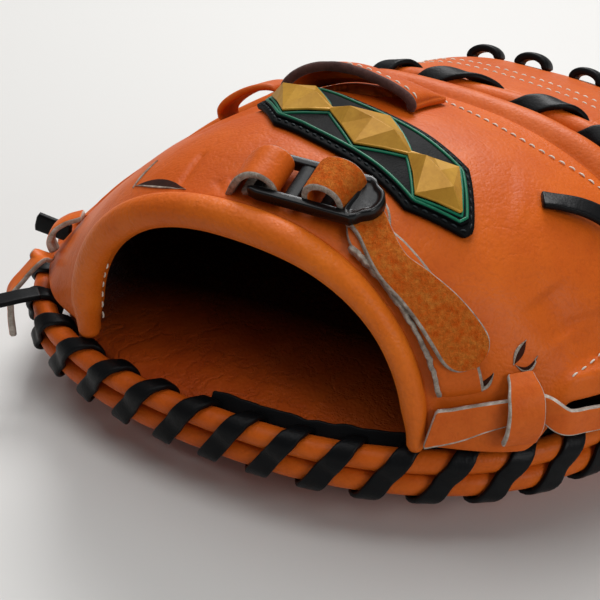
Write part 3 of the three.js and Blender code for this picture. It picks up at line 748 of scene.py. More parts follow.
def tint(code: str) -> tuple[float, float, float, float]:
    """Linear colour of a six-figure code."""
    parts = [int(code[i : i + 2], 16) / 255 for i in (0, 2, 4)]
    return (*[p / 12.92 if p <= 0.04045 else ((p + 0.055) / 1.055) ** 2.4 for p in parts], 1.0)


class Effect(Enum):
    """Shared effects, each a node group."""

    GRAIN = "leather_grain"
    DRIFT = "tone_drift"
    NAP = "raised_nap"


class Sheet:
    """Node tree being written, for a material or a group."""

    def __init__(self, tree: bpy.types.NodeTree) -> None:
        """Starts with an empty tree."""
        self.tree = tree
        tree.nodes.clear()

    def node(self, kind: str, **values) -> bpy.types.Node:
        """Adds a node and sets its own settings.

        Args:
            kind: Type of the node.
            **values: Settings by name.

        Returns:
            The node.
        """
        made = self.tree.nodes.new(kind)
        for key, value in values.items():
            setattr(made, key, value)
        return made

    def join(self, source: Socket, target: Socket) -> None:
        """Joins an output socket to an input socket."""
        self.tree.links.new(source, target)

    def math(
        self,
        kind: str,
        a: Union[Socket, float],
        b: Union[Socket, float, None] = None,
        clamp: bool = False,
    ) -> Socket:
        """Adds a maths node on sockets or numbers and returns its output.

        Args:
            kind: Operation.
            a: First value.
            b: Second value, where there is one.
            clamp: Whether the result stays from 0 to 1.

        Returns:
            The output.
        """
        made = self.node("ShaderNodeMath", operation=kind, use_clamp=clamp)
        for socket, value in zip(made.inputs, (a, b)):
            if value is None:
                continue
            if isinstance(value, (int, float)):
                socket.default_value = value
            else:
                self.join(value, socket)
        return made.outputs[0]

    def noise(
        self, vector: Socket, scale: Union[Socket, float], detail: float = 3, rough: float = 0.55
    ) -> Socket:
        """Adds a noise texture and returns its value.

        Args:
            vector: Place it is read at.
            scale: How fine it is.
            detail: Number of finer layers.
            rough: Strength of the finer layers.

        Returns:
            The output.
        """
        made = self.node("ShaderNodeTexNoise")
        self.join(vector, made.inputs["Vector"])
        if isinstance(scale, (int, float)):
            made.inputs["Scale"].default_value = scale
        else:
            self.join(scale, made.inputs["Scale"])
        made.inputs["Detail"].default_value = detail
        made.inputs["Roughness"].default_value = rough
        return made.outputs["Fac"]

    def band(
        self, value: Socket, low: float, high: float, to_low: float = 0, to_high: float = 1
    ) -> Socket:
        """Adds a clamped change of range and returns its output.

        Args:
            value: Value to change.
            low: Value that becomes to_low.
            high: Value that becomes to_high.
            to_low: Start of the new range.
            to_high: End of the new range.

        Returns:
            The output.
        """
        made = self.node("ShaderNodeMapRange")
        self.join(value, made.inputs["Value"])
        for key, number in (("From Min", low), ("From Max", high), ("To Min", to_low), ("To Max", to_high)):
            made.inputs[key].default_value = number
        return made.outputs["Result"]

    def blend(self, share: Socket, a: Union[Socket, tuple], b: Union[Socket, tuple]) -> Socket:
        """Adds a colour mix of sockets or colours and returns its output.

        Args:
            share: How much of b shows.
            a: First colour.
            b: Second colour.

        Returns:
            The output.
        """
        made = self.node("ShaderNodeMix", data_type="RGBA")
        sockets = [s for s in made.inputs if s.type == "RGBA"]
        self.join(share, made.inputs[0])
        for socket, value in zip(sockets, (a, b)):
            if isinstance(value, tuple):
                socket.default_value = value
            else:
                self.join(value, socket)
        return next(s for s in made.outputs if s.type == "RGBA")


def make_group(
    effect: Effect, inputs: Sequence, outputs: Sequence
) -> tuple[Sheet, bpy.types.Node, bpy.types.Node]:
    """Makes a node group with its sockets.

    Args:
        effect: Which effect it holds.
        inputs: Name, kind and start value of each input.
        outputs: Name and kind of each output.

    Returns:
        The sheet to write on, the input node and the output node.
    """
    tree = bpy.data.node_groups.new(effect.value, "ShaderNodeTree")
    for name, kind, start in inputs:
        socket = tree.interface.new_socket(name, in_out="INPUT", socket_type=kind)
        if start is not None:
            socket.default_value = start
    for name, kind in outputs:
        tree.interface.new_socket(name, in_out="OUTPUT", socket_type=kind)
    sheet = Sheet(tree)
    return sheet, sheet.node("NodeGroupInput"), sheet.node("NodeGroupOutput")


def make_groups() -> None:
    """Makes the shared effects once."""
    number, vector, colour = "NodeSocketFloat", "NodeSocketVector", "NodeSocketColor"
    sheet, start, end = make_group(
        Effect.GRAIN,
        [("Vector", vector, None), ("Size", number, 900.0), ("Creases", number, 1.0)],
        [("Height", number), ("Pores", number)],
    )
    cells = sheet.node("ShaderNodeTexVoronoi", feature="SMOOTH_F1")
    sheet.join(start.outputs["Vector"], cells.inputs["Vector"])
    sheet.join(start.outputs["Size"], cells.inputs["Scale"])
    pebble = sheet.band(cells.outputs["Distance"], 0.15, 0.7, 1, 0)
    fine = sheet.noise(start.outputs["Vector"], sheet.math("MULTIPLY", start.outputs["Size"], 0.22), 4)
    fold = sheet.noise(start.outputs["Vector"], 75, 5, 0.62)
    fold = sheet.math("ABSOLUTE", sheet.math("SUBTRACT", fold, 0.5))
    fold = sheet.band(fold, 0.0, 0.05, -1, 0)
    body = sheet.math("ADD", sheet.math("MULTIPLY", pebble, 0.35), sheet.math("MULTIPLY", fine, 0.9))
    creased = sheet.math("MULTIPLY", fold, start.outputs["Creases"])
    sheet.join(sheet.math("ADD", body, sheet.math("MULTIPLY", creased, 0.35)), end.inputs["Height"])
    sheet.join(sheet.band(cells.outputs["Distance"], 0.45, 0.75), end.inputs["Pores"])

    sheet, start, end = make_group(
        Effect.DRIFT,
        [("Vector", vector, None), ("Size", number, 12.0), ("Dark", colour, None), ("Light", colour, None)],
        [("Color", colour), ("Mask", number)],
    )
    broad = sheet.noise(start.outputs["Vector"], start.outputs["Size"], 5, 0.6)
    spots = sheet.noise(start.outputs["Vector"], sheet.math("MULTIPLY", start.outputs["Size"], 9), 3)
    tones, specks = sheet.band(broad, 0.34, 0.66, 0, 0.8), sheet.band(spots, 0.4, 0.7, 0, 0.25)
    mask = sheet.math("ADD", tones, specks, True)
    sheet.join(mask, end.inputs["Mask"])
    sheet.join(sheet.blend(mask, start.outputs["Dark"], start.outputs["Light"]), end.inputs["Color"])

    sheet, start, end = make_group(
        Effect.NAP,
        [("Vector", vector, None), ("Size", number, 1500.0)],
        [("Height", number), ("Tufts", number)],
    )
    tufts = sheet.noise(start.outputs["Vector"], start.outputs["Size"], 5, 0.7)
    clumps = sheet.noise(start.outputs["Vector"], sheet.math("MULTIPLY", start.outputs["Size"], 0.3), 4, 0.65)
    both = sheet.math("ADD", sheet.math("MULTIPLY", tufts, 0.45), sheet.math("MULTIPLY", clumps, 0.55))
    sheet.join(both, end.inputs["Height"])
    sheet.join(sheet.band(both, 0.36, 0.62), end.inputs["Tufts"])


@dataclass(frozen=True)
class Finish:
    """Finish of a surface.

    The effect is the grain of smooth leather or the nap of a rough one, and dark and light
    are the two colours between which the surface drifts. A surface given a start for painted
    shade darkens to near black beyond that place along the mitt, over the given millimetres:
    painted shade for the dim hollow inside the mitt.
    """

    name: str
    slot: str
    dark: str
    light: str
    effect: Effect = Effect.GRAIN
    size: float = 900.0
    depth: float = 0.12
    drift: float = 12.0
    creases: float = 1.0
    rough: tuple[float, float] = (0.4, 0.54)
    pit: float = 0.12
    specular: float = 0.17
    sheen: float = 0.0
    metal: float = 0.0
    # Where the painted shade starts along the mitt, and over how many millimetres it deepens.
    painted_shade_from: Optional[float] = None
    painted_shade_over: float = 34.0

    def make(self) -> bpy.types.Material:
        """Builds the material from its values and the shared effects.

        Returns:
            The material.
        """
        material = bpy.data.materials.new(self.name)
        material.use_nodes = True
        sheet = Sheet(material.node_tree)
        place = sheet.node("ShaderNodeTexCoord").outputs["Object"]
        drift = sheet.node("ShaderNodeGroup", node_tree=bpy.data.node_groups[Effect.DRIFT.value])
        sheet.join(place, drift.inputs["Vector"])
        drift.inputs["Size"].default_value = self.drift
        drift.inputs["Dark"].default_value = tint(self.dark)
        drift.inputs["Light"].default_value = tint(self.light)
        relief = sheet.node("ShaderNodeGroup", node_tree=bpy.data.node_groups[self.effect.value])
        sheet.join(place, relief.inputs["Vector"])
        relief.inputs["Size"].default_value = self.size
        if self.effect is Effect.GRAIN:
            relief.inputs["Creases"].default_value = self.creases
            pits = sheet.math("MULTIPLY", relief.outputs["Pores"], self.pit)
        else:
            pits = sheet.math("MULTIPLY", sheet.math("SUBTRACT", 1.0, relief.outputs["Tufts"]), self.pit)
        dark = tuple(c * PIT_SHADE for c in tint(self.dark)[:3]) + (1.0,)
        colour = sheet.blend(pits, drift.outputs["Color"], dark)
        # Painted shade: the colour fades to a near-black tone further along the mitt, for the dim hollow
        # towards the fingers.
        if self.painted_shade_from is not None:
            axes = sheet.node("ShaderNodeSeparateXYZ")
            sheet.join(place, axes.inputs[0])
            start = self.painted_shade_from * MM
            deep = sheet.band(axes.outputs["Y"], start, start + self.painted_shade_over * MM, 0, PAINTED_SHADE_SHARE)
            colour = sheet.blend(deep, colour, tint(PAINTED_SHADE_TONE))
        shader = sheet.node("ShaderNodeBsdfPrincipled")
        sheet.join(colour, shader.inputs["Base Color"])
        rough = sheet.band(drift.outputs["Mask"], 0, 1, self.rough[1], self.rough[0])
        sheet.join(rough, shader.inputs["Roughness"])
        shader.inputs["Specular IOR Level"].default_value = self.specular
        shader.inputs["Metallic"].default_value = self.metal
        shader.inputs["Sheen Weight"].default_value = self.sheen
        shader.inputs["Sheen Roughness"].default_value = SHEEN_ROUGHNESS
        bump = sheet.node("ShaderNodeBump")
        bump.inputs["Strength"].default_value = 1.0
        bump.inputs["Distance"].default_value = self.depth * MM
        sheet.join(relief.outputs["Height"], bump.inputs["Height"])
        sheet.join(bump.outputs["Normal"], shader.inputs["Normal"])
        out = sheet.node("ShaderNodeOutputMaterial")
        sheet.join(shader.outputs[0], out.inputs["Surface"])
        return material


class Coat(Enum):
    """Finishes of the mitt."""

    LEATHER = Finish("shell_leather", "leather_orange", "b84c0a", "cf6218", size=1100, depth=0.15)
    BINDING = Finish("binding_leather", "leather_light", "c0540c", "d66c1c", size=1000, depth=0.22)
    LINER = Finish("palm_leather", "leather_liner", "c2480e", "e26a20", depth=0.24, creases=1.8)
    # Inner palm leather: the palm leather with painted shade that deepens to near black towards the fingers.
    INNER = Finish(
        "inner_leather_painted_shade", "leather_liner", "b8440e", "e0661e", depth=0.3, creases=2.2, painted_shade_from=-92
    )
    THONG = Finish("thong_leather", "leather_orange", "bd500e", "d4681f", size=1300, depth=0.08, drift=30)
    LACE = Finish(
        "lace_leather", "lace_black", "050506", "0c0d0f",
        size=1500, depth=0.08, rough=(0.38, 0.5), specular=0.13,
    )
    SUEDE = Finish(
        "strap_suede", "suede_strap", "f8640c", "ff9a3c", Effect.NAP, 3000, 3.4, 500,
        rough=(0.9, 0.98), pit=0.5, specular=0.1,
    )
    RAW = Finish(
        "raw_edge", "suede_strap", "97897b", "d9d0c5", Effect.NAP, 2200, 0.35, 300,
        rough=(0.85, 0.95), pit=0.35, specular=0.15,
    )
    WORN = Finish(
        "worn_edge", "suede_strap", "7c6c60", "c8bcae", Effect.NAP, 2600, 0.6, 400,
        rough=(0.85, 0.95), pit=0.5, specular=0.15,
    )
    PILE = Finish(
        "pile_fabric", "pile_lining", "040505", "101414", Effect.NAP, 1200, 1.8, 60,
        rough=(0.9, 1.0), pit=0.7, specular=0.1, sheen=0.04,
    )
    EDGING = Finish(
        "edging_suede", "edging_brown", "38201d", "5c3b35", Effect.NAP, 1800, 0.4, 60,
        rough=(0.75, 0.9), pit=0.4, specular=0.2, sheen=0.1,
    )
    BUCKLE = Finish(
        "ladder_plastic", "buckle_plastic", "060607", "0e0f11",
        size=700, depth=0.05, creases=0, rough=(0.22, 0.36), specular=0.3,
    )
    RUBBER = Finish(
        "badge_rubber", "badge_black", "040506", "0b0d0e",
        size=1600, depth=0.1, creases=0, rough=(0.45, 0.6), specular=0.05,
    )
    GREEN = Finish(
        "green_rubber", "badge_green", "03543c", "0a7856",
        size=1200, depth=0.03, creases=0, rough=(0.34, 0.45), specular=0.3,
    )
    GOLD = Finish(
        "gold_rubber", "badge_gold", "a6741f", "c79636",
        size=1400, depth=0.02, drift=40, creases=0, rough=(0.36, 0.46), metal=0.2, specular=0.3,
    )
    WHITE_THREAD = Finish(
        "thread_white", "pile_lining", "c9beae", "ece4d6", Effect.NAP, 3000, 0.2, 200,
        rough=(0.6, 0.7), pit=0.15,
    )
    DARK_THREAD = Finish(
        "thread_dark", "badge_black", "12181a", "262e31", Effect.NAP, 3000, 0.2, 200,
        rough=(0.5, 0.6), pit=0.15,
    )
    # Painted shadow for the inside of the slits.
    SLIT = Finish(
        "slit_shadow", "edging_brown", "1a0a05", "3a1608", Effect.NAP, 2000, 0.2, 100,
        rough=(0.85, 0.95),
    )

    def material(self) -> bpy.types.Material:
        """The finish's material, made at its first use."""
        return bpy.data.materials.get(self.value.name) or self.value.make()


def dress(obj: bpy.types.Object, slot: str, nodes: Sequence[str]) -> bpy.types.Object:
    """Puts a finished piece on the frame.

    Args:
        obj: The piece.
        slot: Material slot named for its finish; not used.
        nodes: Solid nodes it stands for.

    Returns:
        The piece.
    """
    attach(obj, ROOT)
    if nodes:
        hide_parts(*nodes)
    log.info("%s: %d faces", obj.name, len(obj.data.polygons))
    return obj


def finish_piece(cage: Cage, name: str, coats: Sequence[Coat], nodes: Sequence[str]) -> bpy.types.Object:
    """Builds a cage, dresses it and returns the piece."""
    obj = cage.build(name, [c.material() for c in coats])
    return dress(obj, coats[0].value.slot, nodes)


# Sub-assemblies


@dataclass
class Palm:
    """Padded palm with the ball pocket on its underside."""

    profile: tuple[tuple[float, float], ...] = (
        (0.0, 38), (0.22, 36.5), (0.44, 29), (0.62, 9), (0.72, 0), (0.79, 0), (0.86, 0), (0.95, 5),
        (1.0, 14), (1.0, 23), (0.98, 26), (0.88, 29.5), (0.6, 37), (0.0, 46),
    )
    columns: int = 420
    wrinkle: float = 0.8
    slack: float = 0.9
    inner_from: float = 0.62

    def build(self) -> None:
        """Lays rings over the profile and creases the palm leather."""
        angles = np.linspace(-np.pi, np.pi, self.columns, endpoint=False)
        rows = cut_corners(self.profile, 3)
        rows = rows[rows[:, 0] > 0.02]
        loops = np.stack([around(angles, r * OUTLINE.pad(angles), z) for r, z in rows])
        inner = np.arange(len(rows)) > len(rows) * self.inner_from
        waves = ripple(loops, 34) + 0.5 * np.abs(ripple(loops * [1, 0.45, 1], 8, 4.0)) - 0.2
        loops[..., 2] += np.where(inner[:, None], waves * self.wrinkle, 0)
        pocket = rows[:, 1][:, None] > 3
        soft = ripple(loops, 22, 9.0) * self.slack
        loops[..., 2] += np.where(~inner[:, None] & pocket, soft, 0)
        cage = Cage()
        cage.rings(loops)
        # Rows past inner_from take the inner finish with its painted shade.
        cage.finish[:] = np.repeat(inner[:-1], self.columns).astype(int).tolist() + [0, 1]
        obj = finish_piece(cage, "palm_leather", [Coat.LINER, Coat.INNER], ["palm_pad"])


@dataclass
class Heel:
    """Two stacked heel rolls and the laces wound round them."""

    start: float = -158
    end: float = -20
    wide: float = 7.6
    high: float = 7.4
    inset: float = 5.2
    upper_z: float = 27.9
    lower_z: float = 20.2
    stop: float = 2.6
    turns: int = 15
    steps: int = 44
    front_share: float = 0.94
    reach: float = 5.0
    dip: float = 0.9
    lace: Strip = Strip(6.4, 1.9, 0.15, 0.35)
    pulse: float = 0.05
    inner_span: tuple[float, float] = (-94, -24)
    inner_inset: float = 10.6
    inner_z: float = 30.2
    inner_lace: Strip = Strip(6.6, 1.9, 0.15, 0.4)
    lump: tuple = ((-50, -62, 32.6), (-46.5, -58.5, 34), (-43, -54, 32.8))
    lump_side: tuple[float, float, float] = (0.6, -0.75, 0.1)
    lump_lace: Strip = Strip(5.6, 1.9, 0.2, 0.3)

    def line(self, angle: Array, z: float) -> Array:
        """Middle line of a roll at a height."""
        return around(angle, OUTLINE.radius(angle) - self.inset, z)

    def rolls(self) -> None:
        """Makes the two rolls, drawn in a little where each lace crosses."""
        share = np.linspace(0, 1, 520)
        angles = mix(self.start + self.stop, self.end - self.stop, share) * DEG
        rolls = (("heel_roll_upper", self.upper_z, 0.25), ("heel_roll_lower", self.lower_z, 0.75))
        for name, z, phase in rolls:
            puff = 1 + self.pulse * np.cos(2 * np.pi * (share * self.turns - phase))
            cage = Cage()
            roll(cage, self.line(angles, z), around(angles, 1.0, 0.0), self.wide * puff, self.high)
            obj = finish_piece(cage, name + "_leather", [Coat.LEATHER], [name])

    def wound(self) -> tuple[Array, Array]:
        """Path of the wound lace and its face normals.

        Returns:
            The points and a normal at each.
        """
        share, turned = winding(self.turns, self.steps, self.front_share)
        angle = mix(self.start + 2 * self.stop, self.end - 2 * self.stop, share) * DEG
        out, up = around(angle, 1.0, 0.0), np.array(UPRIGHT)
        half_gap = (self.upper_z - self.lower_z) / 2
        x, z, nx, nz = drawn_tight(turned, half_gap, self.reach, self.dip)
        middle = self.line(angle, (self.upper_z + self.lower_z) / 2)
        return middle + out * x[:, None] + up * z[:, None], out * nx[:, None] + up * nz[:, None]

    def laces(self) -> None:
        """Makes the wound lace and the lace that lies along the inside of the heel."""
        path, normals = self.wound()
        along = unit(np.gradient(path, axis=0))
        cage = Cage()
        band(cage, path, np.cross(along, normals), self.lace, lace_pinch(normals[:, 2], 0.16))
        finish_piece(cage, "heel_lacing", [Coat.LACE], ["heel_lace"])
        cage = Cage()
        angle = np.linspace(*self.inner_span, 260) * DEG
        sway = ripple(angle[:, None] * [16, 0, 0], 1, 5.0)
        radius = OUTLINE.radius(angle) - self.inner_inset - 0.8 * sway
        inner = around(angle, radius, self.inner_z + 0.7 * sway)
        band(cage, inner, around(angle, -0.5, 0.85), self.inner_lace)
        lump = even_path(self.lump, 30)
        band(cage, lump, self.lump_side, self.lump_lace)
        finish_piece(cage, "inner_heel_lace", [Coat.LACE], [])

    def build(self) -> None:
        """Makes the rolls and their laces."""
        self.rolls()
        self.laces()


@dataclass
class WristEdge:
    """Rolled binding round the wrist opening."""

    thick: float = 10.6
    groove: float = 0.55
    groove_at: float = 2.45
    slimmer: float = 0.28
    taper: float = 0.3
    end: End = End(0.75, 1.6)
    stitched: tuple[int, int] = (8, 74)
    stitch_at: float = 2.25

    def build(self) -> None:
        """Makes the roll with the shallow groove and the stitches at its little-finger side."""
        across = np.linspace(0, 1, 420)
        path = BACK.point(across, 0.0)
        along = unit(np.gradient(path, axis=0))
        out = square_to(along, BACK.normal(across, 0.02))
        up = np.cross(along, out)
        a = full_turn(36)
        slim = 1 - self.slimmer * smooth((across - 0.5) / 0.35)
        ends = 1 - self.taper * (1 - smooth(np.minimum(across, 1 - across) / 0.06))
        radius = self.thick / 2 * (slim * ends * (1 + 0.02 * ripple(path, 16)))[:, None]
        radius = radius - self.groove * bell(a, self.groove_at, 0.16)[None, :]
        loops = path[:, None] + out[:, None] * (radius * np.cos(a))[..., None]
        loops = loops + up[:, None] * (radius * np.sin(a))[..., None]
        cage = Cage()
        cage.rings(with_ends(path, along, loops, self.end, self.end))
        row = slice(*self.stitched)
        face = out[row] * math.cos(self.stitch_at) + up[row] * math.sin(self.stitch_at)
        stitches(cage, path[row] + face * (self.thick / 2 - 0.1), face, Thread(pitch=4.2, length=2.8), 1)
        obj = finish_piece(cage, "wrist_edge_binding", [Coat.BINDING, Coat.WHITE_THREAD], ["wrist_binding"])


@dataclass(frozen=True)
class Fold:
    """Soft crease or ridge between two places of the hand back."""

    start: tuple[float, float]
    end: tuple[float, float]
    depth: float
    width: float


@dataclass(frozen=True)
class Slit:
    """Narrow cut in the hand back, from place to place."""

    start: tuple[float, float]
    end: tuple[float, float]
    wide: float
    sag: float = 0.0
    lip: float = 0.7


@dataclass
class BackShell:
    """Hand back of heavy leather with its pile lining."""

    leather: float = 2.6
    lining: float = 2.0
    start: float = 0.07
    hole: tuple[float, float, float] = (14, 7.5, 4)
    folds: tuple[Fold, ...] = (
        Fold((0.395, 0.27), (0.39, 0.1), -0.9, 1.6),
        Fold((0.445, 0.13), (0.48, 0.06), -0.6, 1.4),
        Fold((0.465, 0.15), (0.5, 0.08), -0.6, 1.2),
        Fold((0.82, 0.46), (0.88, 0.5), -1.6, 7),
        Fold((0.86, 0.6), (0.93, 0.62), -1.2, 8),
        Fold((0.31, 0.5), (0.4, 0.62), -1.2, 7),
        Fold((0.7, 0.55), (0.78, 0.75), 0.9, 12),
    )
    slits: tuple[Slit, ...] = (
        Slit((0.295, 0.175), (0.405, 0.085), 3.4),
        Slit((0.29, 0.172), (0.312, 0.31), 0.8, 0.0, 1.3),
        Slit((0.87, 0.36), (0.897, 0.308), 2.2, 0.0, 0.9),
        Slit((0.898, 0.315), (0.893, 0.385), 1.3, 0.01, 0.7),
        Slit((0.915, 0.175), (0.903, 0.245), 2.0, 0.008, 1.0),
    )
    seams: tuple[tuple[tuple[float, float], ...], ...] = (
        ((0.5, 0.975), (0.55, 0.93), (0.6, 0.885), (0.65, 0.885), (0.7, 0.94), (0.74, 0.97), (0.8, 0.97)),
        ((0.5, 0.975), (0.42, 0.97), (0.34, 0.965), (0.24, 0.96)),
        ((0.962, 0.48), (0.93, 0.56), (0.905, 0.66), (0.89, 0.78)),
    )
    hole_at: tuple[float, float] = (0.4775, 0.76)
    lining_gap: float = 0.35
    lip_thick: float = 0.5
    cut_thick: float = 0.3

    def in_hole(self, points: Array) -> Array:
        """Which points lie in the index-finger hole.

        Args:
            points: The points.

        Returns:
            True for each point inside.
        """
        middle = BACK.point(*self.hole_at)
        turn = self.hole[2] * DEG
        x, y = points[..., 0] - middle[0], points[..., 1] - middle[1]
        a, b = x * math.cos(turn) + y * math.sin(turn), -x * math.sin(turn) + y * math.cos(turn)
        return (a / self.hole[0]) ** 2 + (b / self.hole[1]) ** 2 < 1

    def relief(self, u: Array, v: Array) -> Array:
        """Lift of creases and soft waves over the plain surface.

        Args:
            u: Places across.
            v: Places along.

        Returns:
            The lift at each place.
        """
        points = BACK.point(u, v)
        lift = ripple(points, 42) * 0.55 + ripple(points, 15, 5.0) * 0.16
        for fold in self.folds:
            a, b = BACK.point(*fold.start), BACK.point(*fold.end)
            line = b - a
            s = np.clip(np.sum((points - a) * line, axis=-1) / np.dot(line, line), 0, 1)
            apart = np.linalg.norm(points - a - line * s[..., None], axis=-1)
            ends = smooth(np.minimum(s, 1 - s) * 4 + 0.35)
            lift = lift + fold.depth * ends * np.exp(-((apart / fold.width) ** 2))
        return lift

    def panel(self) -> None:
        """Makes the leather with its index-finger hole and seam stitches."""
        u, w = np.meshgrid(np.linspace(0, 1, 330), np.linspace(0, 1, 150))
        v = mix(self.start - 0.03 * smooth((u - 0.5) / 0.3), 1, w)
        lift = self.relief(u, v) * smooth((v - self.start) * 12 + 0.15) * smooth((1 - v) * 14 + 0.1)
        upper = BACK.on(u, v, lift)
        keep = ~self.in_hole((upper[:-1, :-1] + upper[1:, 1:]) / 2)
        cage = Cage()
        cage.wall(upper, BACK.on(u, v, lift * 0.5 - self.leather), (0, 1, 0), keep)
        for seam in self.seams:
            stitches_on_back(cage, seam, Thread(), 2)
        coats = [Coat.LEATHER, Coat.PILE, Coat.WHITE_THREAD]
        finish_piece(cage, "hand_back_leather", coats, ["back_panel"])

    def cuts(self) -> None:
        """Makes the narrow slits cut in the leather: each is a thin dark band of painted shadow laid on the
        surface for the cut's depth, with a pale lower lip.
        """
        cage = Cage()
        share = np.linspace(0, 1, 26)
        bow = np.sin(np.pi * share)
        for slit in self.slits:
            u = mix(slit.start[0], slit.end[0], share) + slit.sag * bow
            v = mix(slit.start[1], slit.end[1], share)
            path = BACK.on(u, v, self.relief(u, v) + 0.05)
            normal = BACK.normal(u, v)
            side = np.cross(normal, unit(np.gradient(path, axis=0)))
            # Dark band of painted shadow standing for the depth of the cut.
            band(cage, path, side, Strip(slit.wide, self.cut_thick), np.maximum(0.08, bow))
            lower = side * np.sign(np.sum(side * [0.3, -0.9, -0.3], axis=-1, keepdims=True))
            lip = path + lower * (slit.wide * 0.5 * bow)[:, None] + normal * 0.12
            pale = Strip(slit.lip, self.lip_thick, finish=(1, 1, 1))
            band(cage, lip, side, pale, np.maximum(0.2, bow))
        finish_piece(cage, "hand_back_slits", [Coat.SLIT, Coat.WORN], [])

    def pile(self) -> None:
        """Makes the pile lining under the leather, with its own hole."""
        u, v = np.meshgrid(np.linspace(0.05, 0.86, 220), np.linspace(0.08, 0.8, 90))
        top = -self.leather - self.lining_gap
        points = BACK.on(u, v, top)
        tufts = ripple(points, 5, 2.0) * 0.35 + ripple(points, 2, 6.0) * 0.25
        keep = ~self.in_hole((points[:-1, :-1] + points[1:, 1:]) / 2)
        cage = Cage()
        cage.wall(points, BACK.on(u, v, top - self.lining + tufts), (0, 0, 0), keep)
        finish_piece(cage, "hand_back_pile", [Coat.PILE], ["back_lining"])

    def build(self) -> None:
        """Makes the leather, its cuts and the lining."""
        self.panel()
        self.cuts()
        self.pile()


@dataclass(frozen=True)
class RimForm:
    """Heights of a rim section's two middle points, as shares of its climb.

    The slack shares are added where the rim sags.
    """

    lower: float
    lower_slack: float
    drop: float
    drop_slack: float


RIM_SHARES = np.array([0, 0.04, 0.1, 0.17, 0.24, 0.33, 0.42, 0.52, 0.62, 0.72, 0.82, 0.91, 0.97, 1])


